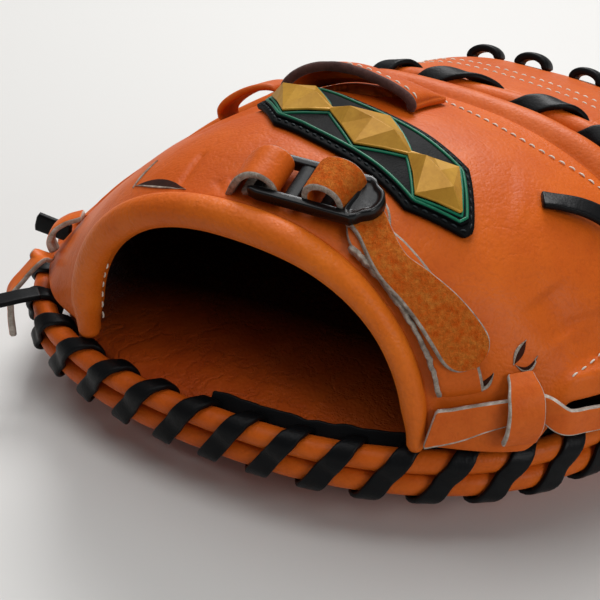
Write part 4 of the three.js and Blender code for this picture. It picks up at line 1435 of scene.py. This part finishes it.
@dataclass
class Rim:
    """Padded rim round the lobes, the knuckle band and the laced welt between them."""

    thumb: float = -20
    finger: float = 202
    bulge: float = 7
    roof: float = 5
    pull: float = 0.35
    slack_from: float = 88
    slack_over: float = 35
    channel: float = 6.2
    sunk: float = 1.3
    seam_z: float = 26
    puff: float = 4
    band_thick: float = 6.5
    welt: tuple[float, float] = (8.2, 7.4)
    welt_turns: int = 9
    welt_steps: int = 40
    welt_front: float = 0.7
    welt_reach: tuple[float, float] = (0.2, 0.86)
    pulse: float = 0.05
    lace: Strip = Strip(7.6, 2.2, 0.15, 0.35)
    lace_high: float = 4.9
    lace_wide: float = 5.3
    seam_places: tuple[float, ...] = (0.07, 0.13, 0.83, 0.89)
    grooves: tuple[tuple[float, float], ...] = ((0.1, 0.8), (0.86, 0.5))
    groove_wide: float = 0.012
    stretches: tuple = (
        ("finger_rim", 62, 202, 300), ("web_crotch", 16, 62, 110), ("thumb_rim", -20, 16, 80)
    )
    pad_shares: tuple[float, ...] = (0, 0.6, 0.88, 0.98, 1)
    pad_heights: tuple[float, ...] = (46, 37, 29.5, 26, 23)
    seat: float = 0.35
    lap: tuple[float, float, float] = (0.09, 0.2, 0.11)
    outside: RimForm = RimForm(0.58, 0.08, 0.1, 0.14)
    inside: RimForm = RimForm(0.48, 0.1, 0.2, 0.12)
    notch_flat: float = 0.85
    full_climb: float = 60
    loop_places: tuple[tuple[str, float], ...] = (("left", 95.5), ("middle", 85.75), ("right", 76.0))
    loop_shares: tuple[float, float, float] = (0.42, 0.62, 0.82)
    loop_half: float = 5.5
    loop_rise: float = 3.2
    loop_lift: float = 0.45
    loop_lace: Strip = Strip(7, 2.8, 0.2, 0.3)

    def pad_top(self, reach: Array) -> Array:
        """Height of the palm's upper side at a share of its radius."""
        return np.interp(reach, self.pad_shares, self.pad_heights)

    def sections(self, degrees: Array, inner: bool, shares: Array = RIM_SHARES) -> Array:
        """Sections of the rim from the palm's seam over to the welt.

        Args:
            degrees: Angles round the mitt.
            inner: Whether the inside surface is wanted.
            shares: Places on each section, from its foot to its top.

        Returns:
            A grid of points, one row a share.
        """
        angle = degrees * DEG
        welt = welt_frames((self.finger - degrees) / (self.finger - self.thumb))
        notch = OUTLINE.web.share(angle)
        near_end = np.minimum(degrees - self.thumb, self.finger - degrees) * DEG
        ends = smooth(near_end / self.pull)
        at_ends, along_lobes, in_notch = self.lap
        reach = 1 - mix(at_ends, mix(along_lobes, in_notch, notch), ends)
        radius = OUTLINE.edge(angle)
        if inner:
            foot = around(angle, radius * reach, self.pad_top(reach) + self.seat)
        else:
            foot = around(angle, radius, self.seam_z + self.seat)
        top = welt.centre + welt.out * self.channel
        if inner:
            top = top - welt.up * self.roof
        climb = top[:, 2] - foot[:, 2]
        slack = smooth((degrees - self.slack_from) / self.slack_over)
        form = self.inside if inner else self.outside
        bulge = 0 if inner else self.bulge * (1 - self.notch_flat * notch)
        lower = foot + around(angle, bulge * np.clip(climb / self.full_climb, 0, 1), 0.0)
        lower[:, 2] += climb * (form.lower - form.lower_slack * slack)
        upper = mix(top, foot, 0.5)
        upper[:, 2] = top[:, 2] - climb * (form.drop + form.drop_slack * slack)
        s = shares[:, None, None]
        r = 1 - s
        return foot * r**3 + lower * (3 * r * r * s) + upper * (3 * r * s * s) + top * s**3

    def waves(self, points: Array, shares: Array) -> Array:
        """Soft waves of the outer leather, still at its two edges."""
        edges = smooth(np.minimum(shares, 1 - shares) * 16)[:, None]
        return (ripple(points, 38, 2.0) * 0.9 + ripple(points, 13, 7.0) * 0.25) * edges

    def shell(self, name: str, start: float, end: float, count: int) -> None:
        """Makes one stretch of the padded rim.

        Args:
            name: Node it stands for.
            start: Angle it starts at.
            end: Angle it ends at.
            count: Columns round it.
        """
        degrees = np.linspace(start + 0.08, end - 0.08, count)
        shares = np.interp(np.linspace(0, 1, 44), np.linspace(0, 1, len(RIM_SHARES)), RIM_SHARES)
        outer, inner = self.sections(degrees, False, shares), self.sections(degrees, True, shares)
        out = unit(outer - inner)
        seam = sum(deep * bell(shares, at, self.groove_wide) for at, deep in self.grooves)
        outer = outer + out * (self.waves(outer, shares) - seam[:, None])[..., None]
        cage = Cage()
        cage.wall(outer, inner, (0, 2, 0))
        coats = [Coat.LEATHER, Coat.WHITE_THREAD, Coat.PILE]
        for place in self.seam_places:
            at = np.array([place])
            row = self.sections(degrees, False, at)
            normal = unit(row - self.sections(degrees, True, at))
            line = row + normal * (self.waves(row, at) - 0.1)[..., None]
            stitches(cage, line[0, 2:-2], normal[0, 2:-2], Thread(), 1)
        obj = finish_piece(cage, name + "_leather", coats, [name])

    def knuckles(self) -> None:
        """Makes the puffed band between the hand back and the welt."""
        across = np.linspace(0.02, 0.98, 330)
        shares = np.linspace(0, 1, 26)
        seam = mix(BACK.point(across, 1.0), BACK.point(across, 0.98), -0.3)
        welt = welt_frames(across)
        far = welt.centre - welt.out * self.channel
        w = shares[:, None, None]
        base = mix(seam, far, w)
        puff = self.puff * (1 - (2 * w - 1) ** 2)
        wave = ripple(base, 24, 3.0)[..., None] * 0.7 * puff / self.puff
        share = (across - self.welt_reach[0]) / np.ptp(self.welt_reach)
        pull = np.abs(np.sin(np.pi * share * self.welt_turns))
        drawn = 0.9 * (1 - pull)[None, :, None] * w**2
        cage = Cage()
        cage.wall(base + welt.up * (puff + wave - drawn), base - welt.up * self.band_thick)
        obj = finish_piece(cage, "knuckle_band", [Coat.LEATHER], ["knuckle_pad"])

    def welts(self) -> None:
        """Makes the welt and the lace wound round it."""
        across = np.linspace(0.02, 0.98, 400)
        frames = welt_frames(across)
        cage = Cage()
        start, end = self.welt_reach
        turned = 2 * np.pi * self.welt_turns * (across - start) / (end - start)
        pulse = 1 + self.pulse * np.cos(turned)
        centre = frames.centre - frames.up * self.sunk
        roll(cage, centre, frames.out, self.welt[0] * pulse, self.welt[1] * pulse)
        finish_piece(cage, "welt_leather", [Coat.LEATHER], ["welt"])
        share, turned = winding(self.welt_turns, self.welt_steps, self.welt_front)
        at = welt_frames(mix(*self.welt_reach, share))
        c, s = np.cos(turned)[:, None], np.sin(turned)[:, None]
        path = at.centre + at.up * (c * self.lace_high - self.sunk) + at.out * s * self.lace_wide
        normal = unit(at.up * c / self.lace_high + at.out * s / self.lace_wide)
        along = unit(np.gradient(path, axis=0))
        cage = Cage()
        band(cage, path, np.cross(along, normal), self.lace, lace_pinch(s[:, 0], 0.15))
        finish_piece(cage, "welt_lacing", [Coat.LACE], ["welt_lace"])

    def loops(self) -> None:
        """Makes the short lace loops over the far side of the rim."""
        for side, degrees in self.loop_places:
            angles = np.array([degrees, degrees - 0.02 / DEG])
            rows = self.sections(angles, False, np.array(self.loop_shares))
            at = rows[1, 0]
            along, over = unit(rows[1, 1] - at), unit(rows[2, 0] - rows[0, 0])
            out = unit(np.cross(over, along))
            out = out if out[2] > 0 else -out
            a = np.linspace(0, np.pi, 40)[:, None]
            lift = self.loop_lift + self.loop_rise * np.sin(a)
            path = at - along * self.loop_half * np.cos(a) + out * lift
            cage = Cage()
            band(cage, path, over, self.loop_lace)
            finish_piece(cage, f"rim_lace_{side}", [Coat.LACE], [f"rim_loop_{side}"])

    def build(self) -> None:
        """Makes the rim, the knuckle band, the welt and their laces."""
        for stretch in self.stretches:
            self.shell(*stretch)
        self.knuckles()
        self.welts()
        self.loops()


@dataclass
class Web:
    """Web between the lobes and its flat laces."""

    z: float = 19.5
    thick: float = 3
    inset: float = 1.4
    outer: float = 0.985
    arch: float = 4
    span: tuple[float, float] = (23, 57.5)
    seams: tuple[float, float] = (0.08, 0.92)
    laces: tuple[float, float, float] = (51, 39, 27)
    strip: Strip = Strip(7, 2.2, 0.2, 0.3)
    clear: float = 1.85
    turn: tuple = ((1.9, 2.4), (1.9, -0.25), (-0.5, -1.85), (-9, -0.65))

    def build(self) -> None:
        """Makes the web panel and its three laces."""
        angle = np.linspace(*self.span, 70) * DEG
        near = OUTLINE.edge(angle) + self.inset
        far = np.maximum(near + 1, OUTLINE.radius(angle) * self.outer)
        s = np.linspace(0, 1, 30)[:, None]
        rise = self.arch * np.sin(np.pi * s)
        top = around(angle[None], mix(near, far, s), self.z + self.thick + rise)
        low = around(angle[None], mix(near, far, s), self.z + rise)
        cage = Cage()
        cage.wall(top, low, (0, 0, 1))
        for share in self.seams:
            height = self.z + self.thick + self.arch * math.sin(math.pi * share)
            row = around(angle, mix(near, far, share), height)[3:-3]
            stitches(cage, row, np.broadcast_to(UPRIGHT, row.shape), Thread(), 2)
        finish_piece(cage, "web_leather", [Coat.LEATHER, Coat.RAW, Coat.WHITE_THREAD], ["web_panel"])
        for i, degrees in enumerate(self.laces):
            self.lace(i + 1, degrees * DEG)

    def lace(self, number: int, angle: float) -> None:
        """Makes one lace from the crotch over the web and round its outer edge.

        Args:
            number: Number of the lace.
            angle: Where it crosses, in radians.
        """
        near = float(OUTLINE.edge(angle)) + self.inset + 1
        far = float(OUTLINE.radius(angle)) * self.outer
        over = self.z + self.thick + self.clear
        rows = [
            (mix(near, far, s), over + self.arch * math.sin(math.pi * s)) for s in np.linspace(0, 1, 6)
        ]
        rows += [(far + out, self.z + up) for out, up in self.turn]
        path = even_path([around(angle, r, z) for r, z in rows], 90)
        side = (-math.sin(angle), math.cos(angle), 0.0)
        cage = Cage()
        band(cage, path, side, self.strip)
        finish_piece(cage, f"web_lacing_{number}", [Coat.LACE], [f"web_lace_{number}"])


@dataclass
class BuckleFrame:
    """Place and directions of the ladder buckle."""

    origin: Array
    x: Array
    y: Array
    z: Array

    def at(self, x: Values, z: Values, y: Values = 0.0) -> Array:
        """Point at places along, up and across the buckle."""
        return self.origin + self.x * x + self.z * z + self.y * y


def buckle_frame() -> BuckleFrame:
    """Frame of the buckle on the hand back.

    Returns:
        Its origin and directions, x along the strap and z away from the hand back.
    """
    x = unit(np.array([0.995, 0.09, -0.047]))
    y = np.array([-0.068, 0.934, 0.35])
    y = unit(y - x * y.dot(x))
    return BuckleFrame(np.array([14.7, -92, 104.7]), x, y, np.cross(x, y))


BUCKLE = buckle_frame()


@dataclass
class Fastening:
    """Wrist strap, its tab and the buckle that joins them."""

    width: float = 12.6
    thick: float = 2.4
    strap_start: tuple = (
        (0.95, 0.15, -5.6), (0.938, 0.148, -3), (0.922, 0.146, -0.3), (0.9, 0.144, 1.75), (0.86, 0.14, 1.8),
        (0.82, 0.134, 1.8), (0.78, 0.132, 1.8), (0.74, 0.132, 1.8), (0.7, 0.134, 1.8), (0.66, 0.138, 1.8),
    )
    strap_buckle: tuple = (
        (20, -6.2), (14, -5.5), (9, -4.7), (5.8, -3.2), (4.6, 0), (5.4, 3.2), (8.2, 5.2), (11.6, 5.3),
        (14.8, 3.6), (16.1, 0.8), (16.2, -1.8), (17.9, -4, -1.2), (22, -4.5, -3.6),
    )
    strap_tail: tuple = (
        (0.715, 0.114, 4.3), (0.76, 0.13, 4.2), (0.8, 0.149, 4.2), (0.84, 0.168, 4.1),
        (0.868, 0.183, 3.9), (0.884, 0.196, 3.8),
    )
    tab: tuple = (
        (-25, -14), (-23, -11), (-21.4, -7.8), (-19.3, -3.6), (-16.6, 0.2), (-13, 2.9), (-9.6, 3.4),
        (-6.6, 1.8), (-5.6, -1), (-6.4, -3.2), (-9, -4.1), (-13, -4.4), (-16.2, -5.2),
    )
    waist: tuple[float, float, float] = (0.2, 0.64, 0.08)
    tongue: tuple[float, float, float] = (0.42, 0.74, 0.22)
    fray: float = 0.35
    frayed: Strip = Strip(1.5, 3.2, 0, 0.5, (2, 2, 2))
    rail: Strip = Strip(2.7, 4.1)
    rail_span: tuple[float, float] = (-12.3, 19.0)
    rail_apart: float = 7.2
    rail_z: float = -2.1
    rail_taper: tuple[float, float, float] = (-13.4, 3.5, 0.45)
    bars: tuple[tuple[float, float], ...] = ((-11.0, 2.4), (0.0, 4.6), (10.7, 3.6))
    bar_reach: float = 7.0
    bar_thick: float = 2.0
    bar_z: float = -1.7
    nose_middle: tuple[float, float] = (20.4, 0.0)
    nose_half: float = 7.0
    nose_levels: tuple[tuple[float, float], ...] = (
        (-4.2, 0.6), (-3.7, 0.0), (-0.5, 0.0), (-0.1, 0.35),
        (0.0, 0.8), (-0.05, 1.5), (-0.7, 2.0), (-0.8, 3.2),
    )
    outline: tuple = (
        (16.8, 0), (16.8, -8), (18, -8.5), (20.4, -7.6), (21.8, -5.9), (24.2, -4.2), (25.5, -1.6),
        (25.5, 1.6), (24.2, 4.2), (21.8, 5.9), (20.4, 7.6), (18, 8.5), (16.8, 8), (16.8, 0.2),
    )

    def on_back(self, rows: Sequence) -> list[Array]:
        """Points of places on the hand back."""
        return [BACK.on(u, v, lift) for u, v, lift in rows]

    def width_on_back(self, rows: Sequence) -> list[Array]:
        """Direction along the hand back at its places."""
        return [unit(BACK.point(u, v + 0.05) - BACK.point(u, v - 0.05)) for u, v, _ in rows]

    def strap(self) -> None:
        """Makes the strap, smooth on its face and suede on its turned-over tail."""
        rows = self.on_back(self.strap_start) + [BUCKLE.at(*row) for row in self.strap_buckle]
        sides = self.width_on_back(self.strap_start) + [BUCKLE.y] * len(self.strap_buckle)
        path = even_path(rows + self.on_back(self.strap_tail), 360)
        sides = even_path(sides + self.width_on_back(self.strap_tail), 360)
        cage = Cage()
        strip = Strip(self.width, self.thick, 0.15, 0.25, (1, 2, 0), (0, 8))
        share = np.linspace(0, 1, len(path))
        less, less_from, less_over = self.waist
        more, more_from, more_over = self.tongue
        tail = 1 - less * smooth((share - less_from) / less_over)
        tail = tail + more * smooth((share - more_from) / more_over)
        band(cage, path, sides, strip, tail)
        base = even_path(self.on_back([(u, v, lift + 0.5) for u, v, lift in self.strap_start[2:]]), 200)
        side = even_path(self.width_on_back(self.strap_start[2:]), 200)
        fray = ripple(base, 1.6, 2.0)[:, None] * self.fray
        band(cage, base - side * (self.width / 2 + 0.2 + fray), side, self.frayed)
        finish_piece(cage, "strap_leather", [Coat.SUEDE, Coat.LEATHER, Coat.WORN], ["strap"])

    def loop(self) -> None:
        """Makes the tab that holds the buckle's first bar."""
        path = even_path([BUCKLE.at(x, z) for x, z in self.tab], 160)
        strip = Strip(self.width, self.thick, 0.15, 0.2, (1, 1, 0))
        cage = Cage()
        band(cage, path, BUCKLE.y, strip)
        finish_piece(cage, "tab_leather", [Coat.LEATHER, Coat.WORN], ["strap_tab"])

    def buckle(self) -> None:
        """Makes the ladder buckle with rounded rails, bars and nose."""
        cage = Cage()
        x = np.linspace(*self.rail_span, 70)
        thin_from, thin_over, thin = self.rail_taper
        ends = thin + (1 - thin) * smooth((x - thin_from) / thin_over)
        for y in (-self.rail_apart, self.rail_apart):
            path = BUCKLE.at(x[:, None], self.rail_z, y)
            band(cage, path, BUCKLE.y, self.rail, ends)
        y = np.linspace(-self.bar_reach, self.bar_reach, 24)[:, None]
        for x, wide in self.bars:
            path = BUCKLE.at(x, self.bar_z, y)
            band(cage, path, BUCKLE.x, Strip(wide, self.bar_thick, 0.25))
        nose = even_path([(*c, 0) for c in self.outline], 90)[:, :2]
        middle = np.array(self.nose_middle)
        loops = []
        for z, inset in self.nose_levels:
            ring = middle + (nose - middle) * (1 - inset / self.nose_half)
            loops.append(BUCKLE.at(ring[:, :1], z, ring[:, 1:]))
        cage.rings(np.array(loops))
        finish_piece(cage, "ladder_buckle", [Coat.BUCKLE], ["buckle"])

    def build(self) -> None:
        """Makes the strap, the tab and the buckle."""
        self.strap()
        self.loop()
        self.buckle()


@dataclass
class Badge:
    """Raised badge of faceted lozenges on a two-colour backing."""

    start: tuple[float, float] = (0.395, 0.55)
    end: tuple[float, float] = (0.72, 0.35)
    half: float = 0.115
    taper: float = 2.1
    blunt: float = 0.12
    side_inset: float = 2.2
    pitch: float = 0.56
    line_reach: tuple[float, float] = (0.315, 0.75)
    facet_reach: tuple[float, float] = (0.285, 0.68)
    facet_heights: tuple[float, float, float] = (3.5, 4.4, 8.0)
    line_lift: float = 3.0
    line_wide: float = 0.9
    line_high: float = 0.95
    bevel: float = 0.35

    def places(self, s: Values) -> tuple[Array, Array]:
        """Places across and along the hand back at places from end to end."""
        share = (s + 1) / 2
        return mix(self.start[0], self.end[0], share), mix(self.start[1], self.end[1], share)

    def normal(self, s: Array) -> Array:
        """Normals of the hand back under the badge's middle line."""
        return BACK.normal(*self.places(s))

    def point(self, s: Values, t: Values, lift: Values) -> Array:
        """Points at places from end to end (-1 to 1) and side to side (-1 to 1).

        Args:
            s: Places from end to end.
            t: Places from side to side.
            lift: Height over the hand back.

        Returns:
            The points.
        """
        s, t = np.broadcast_arrays(np.asarray(s, float), np.asarray(t, float))
        across, along = self.places(s)
        return BACK.on(across, along + t * self.half, np.broadcast_to(lift, s.shape))

    def hex_half(self, s: Array) -> Array:
        """Half width of the hexagon."""
        return np.minimum(1, (1 - np.abs(s)) * self.taper + self.blunt)

    def plate(self, cage: Cage, inset: float, low: float, high: float, finish: int) -> None:
        """Adds a hexagonal plate.

        Args:
            cage: Piece that takes it.
            inset: How far its edge lies inside the backing.
            low: Height of its underside.
            high: Height of its top.
            finish: Number of its finish.
        """
        s = np.linspace(-1 + inset, 1 - inset, 120)[None, :]
        t = np.linspace(-1, 1, 24)[:, None]
        wide = self.hex_half(s) - inset * self.side_inset
        top = self.point(s, t * wide, high)
        cage.wall(top, self.point(s, t * wide, low), (finish,) * 3)

    def edge_row(self, inset: float, lift: float) -> tuple[Array, Array]:
        """Line of points round the plate and their normals.

        Args:
            inset: How far inside the backing it runs.
            lift: Its height.

        Returns:
            The points and a normal at each.
        """
        s = np.linspace(-1 + inset, 1 - inset, 60)
        wide = self.hex_half(s) - inset * self.side_inset
        s, t = np.concatenate([s, s[::-1]]), np.concatenate([wide, -wide[::-1]])
        return self.point(s, t, lift), self.normal(s)

    def build(self) -> None:
        """Makes the backing, the border and the three lozenges."""
        cage = Cage()
        self.plate(cage, 0.0, SEAT, 2.2, 0)
        points, normal = self.edge_row(0.035, 2.25)
        stitches(cage, points, normal, Thread(3.0, 2.0, 0.6, 0.15), 1)
        finish_piece(cage, "badge_base", [Coat.RUBBER, Coat.DARK_THREAD], ["badge_backing"])
        cage = Cage()
        self.plate(cage, 0.075, 2.3, 2.9, 1)
        self.line(cage, *self.edge_row(0.1, self.line_lift))
        turn, quarters = np.linspace(0, 1, 97), [0, 0.25, 0.5, 0.75, 1]
        corner = np.interp(turn, quarters, [-1, 0, 1, 0, -1]) * self.line_reach[0]
        side = np.interp(turn, quarters, [0, 1, 0, -1, 0]) * self.line_reach[1]
        for i in (-1, 0, 1):
            s = self.pitch * i + corner
            self.line(cage, self.point(s, side, self.line_lift), self.normal(s))
        finish_piece(cage, "badge_rim", [Coat.GREEN, Coat.RUBBER], ["badge_border"])
        for i, side in enumerate(("left", "middle", "right")):
            self.lozenge(side, self.pitch * (i - 1))

    def line(self, cage: Cage, points: Array, normal: Array) -> None:
        """Adds a thin raised line closed on itself.

        Args:
            cage: Piece that takes it.
            points: Points of the line.
            normal: Normals at those points.
        """
        points = np.concatenate([points, points[:2]])
        normal = np.concatenate([normal, normal[:2]])
        roll(cage, points, normal, self.line_wide, self.line_high, 0, 12)

    def lozenge(self, side: str, middle: float) -> None:
        """Makes one faceted lozenge with crisp ridges.

        Args:
            side: Word for its place, as in its node.
            middle: Its place from end to end of the badge.
        """
        s = np.array([-1, -0.5, 0, 0.5, 1.0])
        wide = self.facet_reach[1] * np.maximum(0.06, 1 - np.abs(s))
        t = np.array([-1.0, 0, 1])[:, None]
        low, edge, ridge = self.facet_heights
        high = np.where((t == 0) & (np.abs(s) < 1), ridge, edge)
        places = middle + s * self.facet_reach[0]
        cage = Cage()
        cage.wall(self.point(places, t * wide, high), self.point(places, t * wide, low))
        obj = finish_piece(cage, f"badge_facets_{side}", [Coat.GOLD], [f"badge_lozenge_{side}"])
        obj.data.polygons.foreach_set("use_smooth", [False] * len(obj.data.polygons))
        bevel = obj.modifiers.new("soft_ridges", "BEVEL")
        bevel.width = self.bevel * MM
        bevel.segments = 2
        bevel.limit_method = "ANGLE"


@dataclass
class Hood:
    """Hood over the index-finger hole with its edging, and the small loop beside it."""

    start: tuple[float, float] = (0.4, 0.68)
    end: tuple[float, float] = (0.555, 0.68)
    depth: float = 0.2
    rise: float = 6.4
    wall: float = 2.2
    closed: bool = True
    edging_ahead: float = 0.02
    edging_lift: float = 1.6
    edging: tuple[float, float] = (2.9, 3.1)
    seam_back: float = 0.07

    def point(self, angle: Array, back: Array, lift: Values) -> Array:
        """Points of the hood at angles over it and shares of its depth.

        Args:
            angle: Angles from its first foot to its last.
            back: Shares of its depth, from its mouth.
            lift: Height over the hand back at its feet.

        Returns:
            The points.
        """
        share = (1 - np.cos(angle)) / 2
        across = mix(self.start[0], self.end[0], share)
        along = mix(self.start[1], self.end[1], share) + back * self.depth
        fall = np.cos(np.maximum(0, back) * np.pi / 2) ** 0.8 if self.closed else 1.0
        height = lift + self.rise * np.sin(angle) ** 0.85 * fall
        return BACK.on(*np.broadcast_arrays(across, along, height))

    def shell(self, cage: Cage) -> None:
        """Adds the hood's wall.

        Args:
            cage: Piece that takes it.
        """
        angle = np.linspace(0, np.pi, 70)[None, :]
        back = np.linspace(0, 1, 36)[:, None]
        grow = 0.5 * ripple(self.point(angle, back, SEAT), 11, 4.0)
        cage.wall(self.point(angle, back, SEAT + self.wall + grow * 0.5), self.point(angle, back, SEAT))

    def build(self) -> None:
        """Makes the hood, its brown edging and the loop."""
        cage = Cage()
        self.shell(cage)
        finish_piece(cage, "hood_leather", [Coat.LEATHER], ["finger_hood"])
        angle = np.linspace(0, np.pi, 120)
        ahead = -self.edging_ahead / self.depth
        path = self.point(angle, np.full_like(angle, ahead), SEAT + self.edging_lift)
        side = BACK.point(0.47, 0.75) - BACK.point(0.47, 0.6)
        wide, high = self.edging
        cage = Cage()
        roll(cage, path, side, wide, high + 0.3 * ripple(path, 4))
        row = self.point(angle[60:116], np.full(56, self.seam_back), SEAT + self.wall)
        normal = BACK.normal(np.linspace(0.48, 0.555, 56), np.full(56, 0.7))
        stitches(cage, row, normal, Thread(), 1)
        finish_piece(cage, "hood_edge", [Coat.EDGING, Coat.WHITE_THREAD], ["hood_edging"])
        loop = Hood((0.305, 0.72), (0.365, 0.79), depth=0.12, rise=4.5, wall=2.4, closed=False)
        cage = Cage()
        loop.shell(cage)
        finish_piece(cage, "side_loop_leather", [Coat.LEATHER], ["side_loop"])


TANGENT = (0.67, -0.74, 0.0)


@dataclass(frozen=True)
class Thong:
    """One tie thong or lace end."""

    name: str
    node: str
    rows: tuple
    side: Optional[tuple[float, float, float]]
    coat: Coat
    width: float = 7.6
    face_up: bool = False
    flare: float = 0.0
    slant: float = 0.0


@dataclass
class Ties:
    """Tie thongs, their knots and the loose lace ends."""

    thongs: tuple[Thong, ...] = (
        Thong("thumb_thong", "thumb_tie", (
            (0.972, 0.05, 3.0), (0.968, 0.12, 2.1), (0.96, 0.19, 1.9), (0.955, 0.26, 1.9), (0.953, 0.32, 1.9),
            (0.956, 0.38, 2.9), (96.8, -82, 46.3), (100.6, -76, 45), (106.2, -67, 44.2), (110.6, -57.5, 43.4),
            (112.6, -51, 43),
        ), UPRIGHT, Coat.THONG, 8.2, False, 0.45, 6),
        Thong("thumb_knot_thong", "thumb_knot", (
            (0.91, 0.32, 1.6), (0.924, 0.32, 4.6), (0.938, 0.32, 6.3), (0.955, 0.32, 6.7), (0.97, 0.32, 5.6),
            (0.983, 0.32, 3.2), (0.99, 0.32, 1.6),
        ), None, Coat.THONG, 10.5, False, -0.25),
        Thong("finger_thong", "finger_tie", (
            (0.035, 0.5, 4.2), (0.03, 0.45, 6), (-99.6, -86.5, 37.5), (-101, -92, 33), (-99, -95.5, 27.5),
            (-96, -98.5, 21),
        ), TANGENT, Coat.THONG),
        Thong("finger_knot_thong", "finger_knot", (
            (0.12, 0.56, 1.6), (0.1, 0.555, 4.4), (0.08, 0.55, 5.6), (0.058, 0.545, 4.6), (0.045, 0.54, 1.7),
        ), None, Coat.THONG, 7.6, True),
        Thong("lace_tail_back", "lace_end_back", (
            (0.722, 0.625, 1.9), (0.736, 0.67, 3.2), (0.75, 0.72, 4), (0.765, 0.77, 4.2), (0.78, 0.82, 3.6),
        ), None, Coat.LACE, 7),
        Thong("lace_tail_upper", "lace_end_upper", (
            (-105.4, -55.2, 38), (-109, -56, 38.6), (-112.5, -57, 39.6), (-117, -58.5, 41),
        ), UPRIGHT, Coat.LACE, 7),
        Thong("lace_tail_lower", "lace_end_lower", (
            (-88, -93, 36.9), (-92.5, -98.5, 36.7), (-97, -103.5, 36.1),
        ), TANGENT, Coat.LACE, 7),
    )

    def place(self, row: Sequence[float]) -> Array:
        """Point of a row: a place on the hand back, or a plain position."""
        return BACK.on(*row) if abs(row[1]) <= 1 else np.array(row, float)

    def side(self, row: Sequence[float]) -> Array:
        """Direction of the width for a band laid on the hand back."""
        return unit(BACK.point(row[0], row[1] + 0.05) - BACK.point(row[0], row[1] - 0.05))

    def build(self) -> None:
        """Makes every thong with its pale cut edges."""
        for thong in self.thongs:
            path = even_path([self.place(r) for r in thong.rows], 24 * len(thong.rows))
            sides = thong.side or even_path([self.side(r) for r in thong.rows], len(path))
            leather = thong.coat is Coat.THONG
            marks = (0, 0, 0)
            if leather:
                marks = (0, 1, 1) if thong.face_up else (1, 1, 0)
            cage = Cage()
            flare = 1 + thong.flare * (1 - smooth(np.linspace(0, 3, len(path))))
            band(cage, path, sides, Strip(thong.width, 2.2, 0.15, 0.3, marks, slant=thong.slant), flare)
            finish_piece(cage, thong.name, [thong.coat, Coat.RAW] if leather else [thong.coat], [thong.node])


@dataclass(frozen=True)
class Lamp:
    """Square soft light: its place, side and aim in metres, and its power in watts."""

    name: str
    place: tuple[float, float, float]
    size: float
    power: float
    aim: tuple[float, float, float] = (0, 0, 0.05)

    def build(self) -> None:
        """Hangs the light and turns it to its aim."""
        data = bpy.data.lights.new(self.name, "AREA")
        data.size = self.size
        data.energy = self.power
        obj = bpy.data.objects.new(self.name, data)
        obj.location = self.place
        obj.rotation_mode = "QUATERNION"
        obj.rotation_quaternion = (Vector(self.aim) - Vector(self.place)).to_track_quat("-Z", "Y")
        bpy.context.scene.collection.objects.link(obj)


@dataclass
class Studio:
    """Plain pale floor, soft light and the camera."""

    eye: tuple[float, float, float] = (227.6, -429.5, 295.8)
    azimuth: float = 32.244
    elevation: float = 30.0
    focal_pixels: float = 1565
    picture: float = 600
    sensor: float = 36
    floor_reach: float = 3.0
    floor_tone: tuple[float, float, float, float] = (0.62, 0.61, 0.59, 1)
    floor_rough: float = 0.5
    lamps: tuple[Lamp, ...] = (
        Lamp("key_light", (-0.36, 0.88, 1.1), 0.7, 17.5),
        Lamp("top_light", (-0.2, -0.1, 1.6), 1.3, 13),
        Lamp("side_light", (0.75, -0.3, 0.45), 0.3, 2, (0.16, -0.12, 0)),
    )
    sky_tone: tuple[float, float, float, float] = (0.95, 0.97, 1.0, 1)
    sky_strength: float = 0.2

    def camera(self) -> None:
        """Makes the camera at the viewing angle."""
        data = bpy.data.cameras.new("camera")
        data.sensor_width = self.sensor
        data.lens = self.sensor * self.focal_pixels / self.picture
        data.clip_start, data.clip_end = 0.01, 20
        cam = bpy.data.objects.new("camera", data)
        az, el = self.azimuth * DEG, self.elevation * DEG
        look = Vector((-math.sin(az) * math.cos(el), math.cos(az) * math.cos(el), -math.sin(el)))
        cam.location = Vector(self.eye) * MM
        cam.rotation_mode = "QUATERNION"
        cam.rotation_quaternion = look.to_track_quat("-Z", "Y")
        bpy.context.scene.collection.objects.link(cam)
        bpy.context.scene.camera = cam

    def floor(self) -> None:
        """Makes the floor."""
        mesh = bpy.data.meshes.new("floor")
        r = self.floor_reach
        corners = [(-r, -r, 0), (r, -r, 0), (r, r, 0), (-r, r, 0)]
        mesh.from_pydata(corners, [], [(0, 1, 2, 3)])
        material = bpy.data.materials.new("floor_paper")
        material.use_nodes = True
        shader = material.node_tree.nodes["Principled BSDF"]
        shader.inputs["Base Color"].default_value = self.floor_tone
        shader.inputs["Roughness"].default_value = self.floor_rough
        mesh.materials.append(material)
        obj = bpy.data.objects.new("floor", mesh)
        bpy.context.scene.collection.objects.link(obj)

    def build(self) -> None:
        """Sets the camera, the floor, the lights and the surrounding light."""
        self.camera()
        self.floor()
        for lamp in self.lamps:
            lamp.build()
        world = bpy.data.worlds.new("surroundings")
        bpy.context.scene.world = world
        world.use_nodes = True
        back = world.node_tree.nodes["Background"]
        back.inputs["Color"].default_value = self.sky_tone
        back.inputs["Strength"].default_value = self.sky_strength
        bpy.context.scene.view_settings.view_transform = "Standard"


def main() -> None:
    """Builds the sub-assemblies in order."""
    logging.basicConfig(level=logging.INFO, format="%(message)s")
    make_groups()
    builders: list[Callable[[], None]] = [
        Studio().build, Palm().build, Heel().build, WristEdge().build, BackShell().build, Rim().build,
        Web().build, Fastening().build, Badge().build, Hood().build, Ties().build,
    ]
    for builder in builders:
        builder()


if __name__ == "__main__":
    main()
